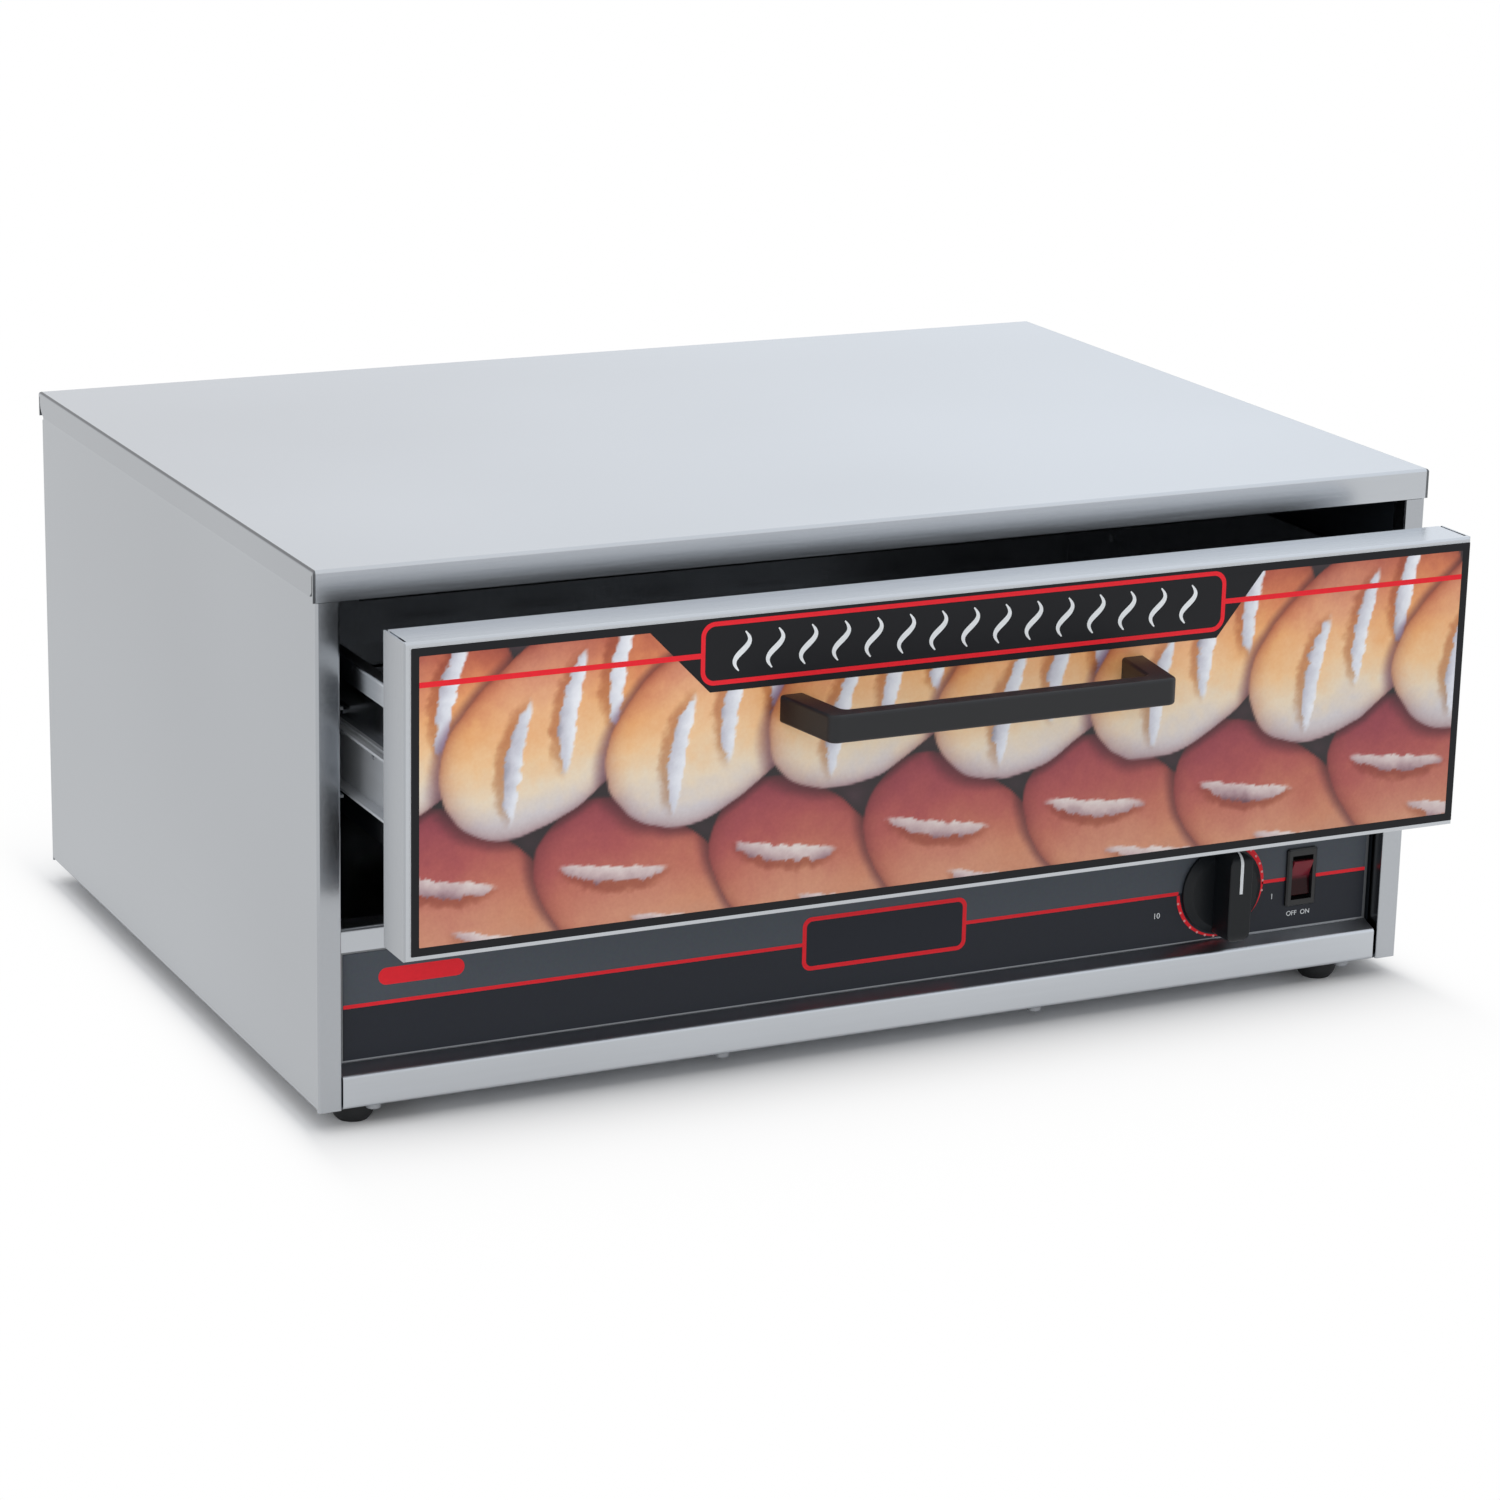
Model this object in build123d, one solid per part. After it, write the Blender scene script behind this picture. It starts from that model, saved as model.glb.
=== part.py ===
from build123d import *
import math
import os

# A free-standing bun warmer: a low cabinet of folded stainless sheet on four rubber feet, with one
# wide drawer on telescopic ball slides over a heating element, and a control panel under the drawer.
# Millimetres. X runs to the right, -Y to the front, Z up. The origin is the middle of the bottom of the
# whole object as it stands in the photograph, with its drawer part open.

# Cabinet
CABINET_WIDTH = 610.0
CABINET_DEPTH = 424.0
CABINET_HEIGHT = 265.0
SHEET = 1.0
THIN_SHEET = 0.9
INSIDE_BEND = 1.0
EDGE_ROUND = 1.6
SEAM = 0.2
CUT_BEYOND = 1.0

# Top cover
FRONT_FOLD = 15.4
FRONT_FOLD_RETURN = 6.5
FRONT_FOLD_DROOP = 2.2
FOLD_RETURN_INSET = 25.0
SIDE_FLAP = 13.0
FLAP_CORNER_ROUND = 8.0
FLAP_CORNER_CUT = 2.5
CORNER_SLIT = 0.7
FLAP_SCREW_DROP = 7.2
COVER_SCREW_INSET = 75.0
SHARP_BEND = 0.3
COVER_GAP = 0.4

# Side panels, back panel and base pan
POST_WIDTH = 12.0
POST_RETURN = 10.0
REAR_FLANGE = 12.0
REAR_SCREW_ABOVE_BASE = 40.0
REAR_SCREW_BELOW_TOP = 41.0
BOTTOM_FLANGE = 56.0
TOP_FLANGE = 11.0
PAN_FLANGE = 12.0

# Control panel
RAIL_HEIGHT = 16.7
LEDGE_RISE = 3.6
PANEL_RECESS = 10.0
PANEL_HEIGHT = 66.8
PANEL_LEFT_GAP = 0.4
PANEL_RIGHT_GAP = 2.2
PANEL_FOOT_FLANGE = 16.0
PANEL_TOP_FLANGE = 14.0

# Printed overlay
OVERLAY_THICKNESS = 0.4
OVERLAY_WIDTH = 575.0
OVERLAY_HEIGHT = 53.2
OVERLAY_EDGE = 0.8

# Feet
FOOT_HEIGHT = 11.4
FOOT_RADIUS = 10.8
FOOT_TREAD_RADIUS = 7.6
FOOT_ROUND = 7.5
FOOT_FRONT_INSET = 19.0
FOOT_REAR_INSET = 30.0
FOOT_LEFT_INSET = 25.5
FOOT_RIGHT_INSET = 38.5
FOOT_RECESS_RADIUS = 5.0
FOOT_RECESS_DEPTH = 5.5
FOOT_SCREW_GRIP = 3.5

# Liner and heater deck
LINER_BACK_GAP = 16.0
LINER_FLANGE = 9.0
REAR_LINER_FLANGE = 8.0
DECK_FLANGE = 10.0
CEILING_DEPTH = 17.0
CEILING_SIDE_INSET = 12.0
CEILING_FRONT_INSET = 14.0
INSULATION_CLEARANCE = 1.0

# Drawer
DRAWER_OPEN = 66.7
DRAWER_SIDE_GAP = 5.15
DRAWER_TOP_GAP = 3.9
DRAWER_BOTTOM_GAP = 7.7
FRONT_PAN_DEPTH = 25.6
FRONT_PAN_SLIT = 1.2
FRONT_PAN_SLIT_FROM_FACE = 3.0
FRONT_PAN_ROUND = 1.2
BACKING_FLANGE = 12.0
PICTURE_THICKNESS = 0.6
PICTURE_WIDTH = 569.0
PICTURE_MARGIN = 2.5
PICTURE_SHIFT = 1.1
TUB_BELOW_MIDDLE = 1.55
TUB_HEIGHT = 84.0
TUB_LENGTH = 360.0
RIM_WIDTH = 7.1
RIM_LIP = 11.0
TUB_SLOT_LENGTH = 44.0
TUB_SLOT_WIDTH = 8.0
TUB_SLOT_ROWS = 4
TUB_SLOT_COLUMNS = 8
TUB_BEND = 0.8
TUB_END_CORNER = 1.0
TUB_SCREW_X = (97.0, 237.0)
TUB_SCREW_HEIGHTS = (18.0, 60.0)

# Handle
HANDLE_REACH = 42.0
HANDLE_HEIGHT = 13.5
HANDLE_HALF_BASE = 98.5
HANDLE_HALF_FRONT = 92.5
HANDLE_LEG = 12.5
HANDLE_BAR = 10.0
HANDLE_BELOW_TOP = 49.6
HANDLE_CORNER = 5.0
HANDLE_INNER_CORNER = 3.0
HANDLE_EDGE = 1.6
HANDLE_SCREW_REACH = 12.0

# Telescopic slides, from the liner to the tub
SLIDE_LENGTH = 350.0
SLIDE_THICKNESS = 12.7
SLIDE_ABOVE_TUB = 33.0
INNER_HALF_HEIGHT = 15.1
INNER_WEB = 1.2
INNER_FLANGE = 5.9
INNER_FLANGE_THICKNESS = 1.3
MIDDLE_WEB_FROM = 2.9
MIDDLE_WEB = 1.1
MIDDLE_FLANGE_THICKNESS = 1.9
MIDDLE_DEPTH = 9.1
OUTER_WEB = 1.1
OUTER_DEPTH = 11.0
OUTER_FLANGE_THICKNESS = 1.5
BALL_RADIUS = 1.5
BALL_CLEARANCE = 0.03
RACE_DEPTH = 0.6
RACE_SLACK = 0.08
OUTER_BALL_FROM_LINER = 7.4
INNER_BALL_FROM_LINER = 9.3
SLIDE_STOP_GAP = 0.5
MIDDLE_SETBACK = 40.0
MIDDLE_LENGTH = 310.0
CAGE_THICKNESS = 0.5
CAGE_LENGTH = 130.0
CAGE_LIP = 0.8
CAGE_HOLE_SLACK = 0.12
BALLS_PER_ROW = 4
BALL_PITCH = 38.0
OUTER_CAGE_WEB_FROM = 1.5
INNER_CAGE_WEB_FROM = 4.4
OUTER_CAGE_START = 115.0
INNER_CAGE_START = 128.0
HOOK_SLOT_FROM_END = 18.0
HOOK_SLOT_LENGTH = 13.0
HOOK_SLOT_WIDTH = 3.0
HOOK_SLOT_HEIGHT = 6.5
HOOK_SLOT_BELOW_FLANGE = 0.5
CABINET_SLIDE_SCREWS_FROM_FRONT = (12.0, 290.0, 335.0)
DRAWER_SLIDE_SCREWS_FROM_FRONT = (80.0, 175.0, 310.0)

# Screws
SMALL_HEAD_RADIUS = 3.6
SMALL_HEAD_HEIGHT = 1.5
FLAT_HEAD_HEIGHT = 1.4
SMALL_SHANK_RADIUS = 2.0
HOLE_SLACK = 0.1
SLIDE_SCREW_REACH = 2.4
PANEL_SCREW_REACH = 5.0
BASE_SCREW_HEAD_RADIUS = 3.8
BASE_SCREW_HEAD_HEIGHT = 2.6
BASE_SCREW_SETBACK = 5.2
BASE_SCREW_LEFT_INSET = 31.0
BASE_SCREW_RIGHT_INSET = 32.0
BASE_SCREW_MIDDLE_X = (-90.0, 87.0)
SCREW_HEAD_ROUND = 0.9

# Knob and thermostat
KNOB_X = 198.3
KNOB_HEIGHT = 19.5
KNOB_GAP = 0.6
SKIRT_RADIUS = 23.5
SKIRT_TOP_RADIUS = 19.5
SKIRT_RIM = 1.4
SKIRT_HEIGHT = 4.6
GRIP_WIDTH = 14.5
GRIP_FACE_WIDTH = 13.5
GRIP_HALF_LENGTH = 24.5
GRIP_END_ROUND = 6.0
GRIP_EDGE = 0.8
KNOB_HOLLOW_RADIUS = 18.0
KNOB_HOLLOW_DEPTH = 3.0
KNOB_HUB_WALL = 2.5
SHAFT_RADIUS = 3.0
SHAFT_FLAT = 2.2
SHAFT_REACH = 12.0
SHAFT_SLACK = 0.05
SHAFT_INSIDE_CASE = 8.4
THERMOSTAT_WIDTH = 38.0
THERMOSTAT_HEIGHT = 44.0
THERMOSTAT_DEPTH = 28.0
BUSHING_RADIUS = 5.0
THERMOSTAT_SCREW_SPACING = 28.0
THERMOSTAT_CORNER = 4.0
THERMOSTAT_EDGE = 2.0

# Rocker switch
SWITCH_X = 247.1
SWITCH_Z = 48.6
BEZEL_WIDTH = 18.0
BEZEL_HEIGHT = 31.4
BEZEL_THICKNESS = 2.2
BEZEL_CORNER = 1.2
BEZEL_EDGE = 0.8
SWITCH_BODY_WIDTH = 14.8
SWITCH_BODY_HEIGHT = 27.6
SWITCH_BODY_DEPTH = 24.0
SWITCH_TERMINAL = 8.0
WELL_WIDTH = 12.6
WELL_HEIGHT = 24.0
WELL_DEPTH = 9.0
ROCKER_WIDTH = 11.6
ROCKER_LENGTH = 20.6
ROCKER_DEPTH = 5.0
ROCKER_TILT = 9.0
ROCKER_PIVOT_DEPTH = 4.0
ROCKER_PIN_RADIUS = 1.2
ROCKER_PIN_SLACK = 0.05
ROCKER_PIN_REACH = 0.5
ROCKER_EDGE = 0.6

# Heating element and its supports
ELEMENT_RADIUS = 4.0
ELEMENT_ABOVE_DECK = 22.0
ELEMENT_HALF_RUN = 225.0
ELEMENT_FIRST_ROW = 105.0
ELEMENT_ROW_PITCH = 62.0
ELEMENT_ROWS = 4
ELEMENT_BEND = 26.0
ELEMENT_TAIL_X = 262.0
ELEMENT_TAIL_BEND = 14.0
ELEMENT_TAIL_BELOW = 14.0
SUPPORT_X = (-150.0, 0.0, 150.0)
SUPPORT_HALF_TOP = 7.0
SUPPORT_TOE = 8.0
SUPPORT_GAP = 0.3
SUPPORT_OVERHANG = 20.0
CERAMIC_RADIUS = 8.0
CERAMIC_NECK_RADIUS = 6.0
CERAMIC_HEAD = 3.0
CERAMIC_LENGTH = 10.0
TERMINAL_RADIUS = 2.0
TERMINAL_LENGTH = 10.0
TERMINAL_NUT_RADIUS = 4.0
TERMINAL_NUT_HEIGHT = 3.0

# Bulb and capillary
BULB_RADIUS = 3.2
BULB_LENGTH = 70.0
BULB_SETBACK = 48.0
BULB_ABOVE_DECK = 4.0
BULB_FROM_KNOB = 60.0
CAPILLARY_RADIUS = 1.0
CAPILLARY_BENDS = [5.0, 9.0, 2.0, 2.0]
CAPILLARY_HOLE_RADIUS = 2.5
CAPILLARY_HOLE_SETBACK = 14.0
CAPILLARY_RUN = 30.0
CLIP_WIDTH = 8.0
CLIP_WALL = 1.0
CLIP_FOOT = 12.0
CLIP_STEM = 1.2
CLIPS_ALONG_BULB = (14.0, 56.0)

# Electrics at the back, and the cord's bushing
BLOCK_WIDTH = 60.0
BLOCK_DEPTH = 18.0
BLOCK_HEIGHT = 20.0
BLOCK_X = 205.0
BLOCK_SETBACK = 60.0
BLOCK_EDGE = 3.0
BLOCK_WELLS = 3
BLOCK_WELL_RADIUS = 4.0
BLOCK_WELL_DEPTH = 5.0
CORD_X = 252.0
CORD_ABOVE_BASE = 23.0
CORD_BORE_RADIUS = 5.0
BUSHING_WALL = 2.6
CORD_FLANGE_RADIUS = 11.0
CORD_FLANGE_THICKNESS = 3.0
CORD_FLANGE_EDGE = 1.2
CORD_BODY_LENGTH = 9.0
WIRE_RADIUS = 1.6
WIRE_BEND = 8.0
WIRE_TURN = 24.0

# Places worked out from the sizes above
DRAWER_REACH = HANDLE_REACH + PICTURE_THICKNESS + DRAWER_OPEN
OVERALL_DEPTH = DRAWER_REACH + CABINET_DEPTH + CORD_FLANGE_THICKNESS
FRONT_Y = -OVERALL_DEPTH / 2 + DRAWER_REACH
BACK_Y = FRONT_Y + CABINET_DEPTH
BASE_Z = FOOT_HEIGHT
CORD_Z = BASE_Z + CORD_ABOVE_BASE
TOP_Z = BASE_Z + CABINET_HEIGHT
UNDER_COVER_Z = TOP_Z - SHEET
FOLD_BOTTOM_Z = TOP_Z - FRONT_FOLD
FLAP_BOTTOM_Z = TOP_Z - SIDE_FLAP
SIDE_OUTER_X = CABINET_WIDTH / 2 - SHEET - COVER_GAP
SIDE_INNER_X = SIDE_OUTER_X - SHEET
OPENING_X = SIDE_OUTER_X - POST_WIDTH

PAN_TOP_Z = BASE_Z + 2 * SHEET
RAIL_TOP_Z = BASE_Z + RAIL_HEIGHT
PANEL_BOTTOM_Z = RAIL_TOP_Z + LEDGE_RISE
PANEL_TOP_Z = PANEL_BOTTOM_Z + PANEL_HEIGHT
PANEL_Y = FRONT_Y + PANEL_RECESS
PANEL_BACK_Y = PANEL_Y + SHEET
PANEL_LEFT = -OPENING_X + PANEL_LEFT_GAP
PANEL_RIGHT = OPENING_X - PANEL_RIGHT_GAP
OVERLAY_BOTTOM_Z = PANEL_BOTTOM_Z + OVERLAY_EDGE
OVERLAY_Y = PANEL_Y - OVERLAY_THICKNESS
KNOB_Z = OVERLAY_BOTTOM_Z + OVERLAY_HEIGHT / 2
SWITCH_MIDDLE_Z = BASE_Z + SWITCH_Z

DECK_TOP_Z = PANEL_TOP_Z - SHEET
REAR_LINER_Y = BACK_Y - LINER_BACK_GAP
LINER_FRONT_Y = FRONT_Y + POST_RETURN + SEAM
CEILING_BOTTOM_Z = UNDER_COVER_Z - CEILING_DEPTH
CEILING_HALF = OPENING_X - CEILING_SIDE_INSET

DRAWER_FACE_Y = FRONT_Y - DRAWER_OPEN
DRAWER_BACK_Y = DRAWER_FACE_Y + FRONT_PAN_DEPTH
DRAWER_HALF = OPENING_X - DRAWER_SIDE_GAP
DRAWER_TOP_Z = FOLD_BOTTOM_Z - DRAWER_TOP_GAP
DRAWER_BOTTOM_Z = PANEL_TOP_Z + DRAWER_BOTTOM_GAP
TUB_HALF = OPENING_X - SLIDE_THICKNESS
ELEMENT_Z = DECK_TOP_Z + ELEMENT_ABOVE_DECK
HEATED_MIDDLE_Z = (ELEMENT_Z + ELEMENT_RADIUS + CEILING_BOTTOM_Z) / 2
TUB_BOTTOM_Z = HEATED_MIDDLE_Z - TUB_BELOW_MIDDLE - TUB_HEIGHT / 2
TUB_TOP_Z = TUB_BOTTOM_Z + TUB_HEIGHT
TUB_REAR_Y = DRAWER_BACK_Y + TUB_LENGTH
PICTURE_Y = DRAWER_FACE_Y - PICTURE_THICKNESS
HANDLE_Z = DRAWER_TOP_Z - HANDLE_BELOW_TOP
HANDLE_LEG_X = HANDLE_HALF_BASE - HANDLE_LEG / 2

SLIDE_Z = TUB_BOTTOM_Z + SLIDE_ABOVE_TUB
CLOSED_SLIDE_Y = FRONT_Y + FRONT_PAN_DEPTH + SLIDE_STOP_GAP
INNER_BALL_Z = INNER_HALF_HEIGHT - RACE_DEPTH + BALL_RADIUS + BALL_CLEARANCE
MIDDLE_INSIDE_Z = INNER_BALL_Z + BALL_RADIUS + BALL_CLEARANCE - RACE_DEPTH
MIDDLE_HALF_HEIGHT = MIDDLE_INSIDE_Z + MIDDLE_FLANGE_THICKNESS
OUTER_BALL_Z = MIDDLE_HALF_HEIGHT - RACE_DEPTH + BALL_RADIUS + BALL_CLEARANCE
OUTER_INSIDE_Z = OUTER_BALL_Z + BALL_RADIUS + BALL_CLEARANCE - RACE_DEPTH
OUTER_HALF_HEIGHT = OUTER_INSIDE_Z + OUTER_FLANGE_THICKNESS

ELEMENT_ROW_Y = [FRONT_Y + ELEMENT_FIRST_ROW + row * ELEMENT_ROW_PITCH for row in range(ELEMENT_ROWS)]
FOOT_PLACES = [
    (x, y)
    for x in (-CABINET_WIDTH / 2 + FOOT_LEFT_INSET, CABINET_WIDTH / 2 - FOOT_RIGHT_INSET)
    for y in (FRONT_Y + FOOT_FRONT_INSET, BACK_Y - FOOT_REAR_INSET)
]


def block(x_range, y_range, z_range):
    """A rectangular block between two limits along each axis."""
    spans = (x_range, y_range, z_range)
    sizes = [high - low for low, high in spans]
    middle = [(low + high) / 2 for low, high in spans]
    return Pos(*middle) * Box(*sizes)


def folded(points, thickness=SHEET, bend=INSIDE_BEND):
    """Section of a folded sheet, from its middle line through the corner points."""
    return trace(FilletPolyline(*points, radius=bend + thickness / 2), thickness)


def along_x(section, x_range):
    """Extrude a section drawn in Y and Z."""
    return extrude(Plane.YZ.offset(x_range[0]) * section, x_range[1] - x_range[0])


def along_y(section, y_range):
    """Extrude a section drawn in X and Z."""
    return extrude(Plane.XZ.offset(-y_range[1]) * section, y_range[1] - y_range[0])


def along_z(section, z_range):
    """Extrude a section drawn in X and Y."""
    return extrude(Plane.XY.offset(z_range[0]) * section, z_range[1] - z_range[0])


def rod(radius, start, end):
    """A round bar from one point to another."""
    direction = Vector(*end) - Vector(*start)
    circle = Plane(origin=start, z_dir=direction) * Circle(radius)
    return extrude(circle, direction.length)


def screw(place, direction, reach, head_radius=SMALL_HEAD_RADIUS, head_height=SMALL_HEAD_HEIGHT):
    """A pan-head screw whose head stands on a face at the place and points along the direction."""
    head = Pos(0, 0, head_height / 2) * Cylinder(head_radius, head_height)
    head = fillet(head.edges().group_by(Axis.Z)[-1], SCREW_HEAD_ROUND)
    shank = Pos(0, 0, -reach / 2) * Cylinder(SMALL_SHANK_RADIUS, reach)
    return Plane(origin=place, z_dir=direction).location * (head + shank)


def screw_hole(place, direction, reach):
    """The clearance hole that such a screw needs below its head."""
    start = Vector(*place) + Vector(*direction) * reach
    end = Vector(*place) - Vector(*direction) * reach
    return rod(SMALL_SHANK_RADIUS + HOLE_SLACK, start, end)


def mirrored(shape):
    """The same piece on the other side of the cabinet."""
    return mirror(shape, about=Plane.YZ)


def group(solids):
    """Separate solids kept in one node."""
    return Compound(children=list(solids))


def tube(points, bend, radius):
    """A round tube along straight runs joined by arcs."""
    path = FilletPolyline(*points, radius=bend)
    start = Plane(origin=path @ 0, z_dir=path % 0)
    return sweep(start * Circle(radius), path=path)


# Screws of the cabinet
REAR_SCREW_X = (SIDE_OUTER_X + OPENING_X) / 2
LOW_SCREW_Z = BASE_Z + REAR_SCREW_ABOVE_BASE
HIGH_SCREW_Z = TOP_Z - REAR_SCREW_BELOW_TOP
REAR_SCREW_Z = (LOW_SCREW_Z, (LOW_SCREW_Z + HIGH_SCREW_Z) / 2, HIGH_SCREW_Z)
COVER_SCREW_X = CABINET_WIDTH / 2 - COVER_SCREW_INSET
BASE_SCREW_ENDS = (-CABINET_WIDTH / 2 + BASE_SCREW_LEFT_INSET, CABINET_WIDTH / 2 - BASE_SCREW_RIGHT_INSET)
BASE_SCREW_X = (BASE_SCREW_ENDS[0], *BASE_SCREW_MIDDLE_X, BASE_SCREW_ENDS[1])
BACK_SCREWS = [(side * REAR_SCREW_X, BACK_Y, z) for side in (-1, 1) for z in REAR_SCREW_Z]
COVER_SCREWS = [(side * COVER_SCREW_X, BACK_Y, TOP_Z - FLAP_SCREW_DROP) for side in (-1, 0, 1)]
BASE_SCREWS = [(x, FRONT_Y + BASE_SCREW_SETBACK, BASE_Z) for x in BASE_SCREW_X]
FOOT_SCREWS = [(x, y, FOOT_RECESS_DEPTH) for x, y in FOOT_PLACES]
BACKWARD = (0, 1, 0)
FORWARD = (0, -1, 0)
DOWNWARD = (0, 0, -1)
UPWARD = (0, 0, 1)


def top_cover():
    """Top sheet with a front fold, side flaps and a rear flap, slit at its corners."""
    half = CABINET_WIDTH / 2
    outside = block((-half, half), (FRONT_Y, BACK_Y), (FLAP_BOTTOM_Z, TOP_Z))
    outside = fillet(outside.edges().group_by(Axis.Z)[-1], EDGE_ROUND)
    below = FLAP_BOTTOM_Z - CUT_BEYOND
    inside = block((-half + SHEET, half - SHEET), (FRONT_Y + SHEET, BACK_Y - SHEET), (below, UNDER_COVER_Z))
    cover = outside - inside
    cover += block((-half, half), (FRONT_Y, FRONT_Y + SHEET), (FOLD_BOTTOM_Z, FLAP_BOTTOM_Z + SHEET))
    for side in (-1, 1):
        flap_x = sorted((side * (half - SHEET - CUT_BEYOND), side * (half + CUT_BEYOND)))
        for y in (FRONT_Y + SHEET, BACK_Y - SHEET - CORNER_SLIT):
            cover -= block(flap_x, (y, y + CORNER_SLIT), (below, TOP_Z - EDGE_ROUND - SHEET))
        corner = Plane.YZ.offset(flap_x[0]) * Pos(BACK_Y - SHEET - CORNER_SLIT, FLAP_BOTTOM_Z)
        round_off = Rectangle(FLAP_CORNER_ROUND, FLAP_CORNER_ROUND, align=(Align.MAX, Align.MIN))
        round_off -= Pos(-FLAP_CORNER_ROUND, FLAP_CORNER_ROUND) * Circle(FLAP_CORNER_ROUND)
        cover -= extrude(corner * round_off, flap_x[1] - flap_x[0])
        front_corner = Plane.YZ.offset(flap_x[0]) * Pos(FRONT_Y + SHEET + CORNER_SLIT, FLAP_BOTTOM_Z)
        cut = Polyline((0, 0), (FLAP_CORNER_CUT, 0), (0, FLAP_CORNER_CUT), close=True)
        cover -= extrude(front_corner * make_face(cut), flap_x[1] - flap_x[0])
    fold_return = folded([
        (FRONT_Y + SHEET / 2, FOLD_BOTTOM_Z + 3 * SHEET),
        (FRONT_Y + SHEET / 2, FOLD_BOTTOM_Z + SHEET / 2),
        (FRONT_Y + FRONT_FOLD_RETURN, FOLD_BOTTOM_Z - FRONT_FOLD_DROOP),
    ], bend=SHARP_BEND)
    return_half = half - FOLD_RETURN_INSET
    cover += along_x(fold_return, (-return_half, return_half))
    for place in COVER_SCREWS:
        cover -= screw_hole(place, BACKWARD, 2 * SHEET)
    return cover


def side_sheet():
    """Left side sheet with the front post, its return, and flanges at the rear, the top and the bottom."""
    middle_x = -SIDE_OUTER_X + SHEET / 2
    upright = folded([
        (-OPENING_X - SHEET / 2, FRONT_Y + POST_RETURN),
        (-OPENING_X - SHEET / 2, FRONT_Y + SHEET / 2),
        (middle_x, FRONT_Y + SHEET / 2),
        (middle_x, BACK_Y - SHEET / 2),
        (middle_x + REAR_FLANGE, BACK_Y - SHEET / 2),
    ], bend=SHARP_BEND)
    post_top = FOLD_BOTTOM_Z - SEAM
    panel = along_z(upright, (BASE_Z, post_top))
    notch_x = (-OPENING_X - SHEET - INSIDE_BEND, -OPENING_X)
    panel -= block(notch_x, (FRONT_Y + SHEET + SEAM, FRONT_Y + POST_RETURN), (BASE_Z, PAN_TOP_Z + SEAM))
    corner_y = (FRONT_Y + SHEET + INSIDE_BEND, BACK_Y - 2 * SHEET - SEAM)
    corner_x = (-SIDE_OUTER_X - CUT_BEYOND, -SIDE_INNER_X)
    panel -= block(corner_x, corner_y, (BASE_Z - CUT_BEYOND, PAN_TOP_Z + SEAM))
    floor_flange = folded([
        (middle_x, PAN_TOP_Z + SEAM),
        (middle_x, BASE_Z + SHEET / 2),
        (middle_x + BOTTOM_FLANGE, BASE_Z + SHEET / 2),
    ])
    panel += along_y(floor_flange, corner_y)
    crown = folded([
        (middle_x, post_top - 2 * SHEET),
        (middle_x, UNDER_COVER_Z - SHEET / 2),
        (middle_x + TOP_FLANGE, UNDER_COVER_Z - SHEET / 2),
    ])
    panel += along_y(crown, (FRONT_Y + SHEET + EDGE_ROUND, BACK_Y - SHEET - EDGE_ROUND))
    for place in BACK_SCREWS[:len(REAR_SCREW_Z)]:
        panel -= screw_hole(place, BACKWARD, 2 * SHEET)
    return panel


def side_panel(sheet, side):
    """A side sheet with the holes for the feet and base screws on its side."""
    for x, y, _ in BASE_SCREWS + FOOT_SCREWS:
        if side * x > SIDE_OUTER_X - BOTTOM_FLANGE:
            sheet -= screw_hole((x, y, BASE_Z), DOWNWARD, 2 * SHEET)
    return sheet


def back_panel():
    """Flat sheet inside the rear flanges, with a hole for the cord's bushing."""
    half = SIDE_INNER_X - INSIDE_BEND - SEAM
    levels = (BASE_Z, UNDER_COVER_Z - SHEET - SEAM)
    panel = block((-half, half), (BACK_Y - 2 * SHEET, BACK_Y - SHEET), levels)
    behind = (CORD_X, BACK_Y - 3 * SHEET, CORD_Z)
    panel -= rod(CORD_BORE_RADIUS + BUSHING_WALL + HOLE_SLACK, behind, (CORD_X, BACK_Y, CORD_Z))
    for place in BACK_SCREWS + COVER_SCREWS:
        panel -= screw_hole(place, BACKWARD, 4 * SHEET)
    return panel


def base_pan():
    """Bottom sheet on the side panels' flanges, turned up along its sides and its rear edge."""
    low = BASE_Z + SHEET
    section = folded([
        (-SIDE_INNER_X + SHEET / 2, low + PAN_FLANGE),
        (-SIDE_INNER_X + SHEET / 2, low + SHEET / 2),
        (SIDE_INNER_X - SHEET / 2, low + SHEET / 2),
        (SIDE_INNER_X - SHEET / 2, low + PAN_FLANGE),
    ])
    pan_back = BACK_Y - 2 * SHEET
    pan = along_y(section, (FRONT_Y + SHEET + INSIDE_BEND + SEAM, pan_back))
    rear = SIDE_INNER_X - 2 * SHEET - INSIDE_BEND
    pan += block((-rear, rear), (pan_back - SHEET, pan_back), (low, low + PAN_FLANGE))
    for x, y, _ in BASE_SCREWS + FOOT_SCREWS:
        pan -= screw_hole((x, y, low), DOWNWARD, 2 * SHEET)
    return pan


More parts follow.
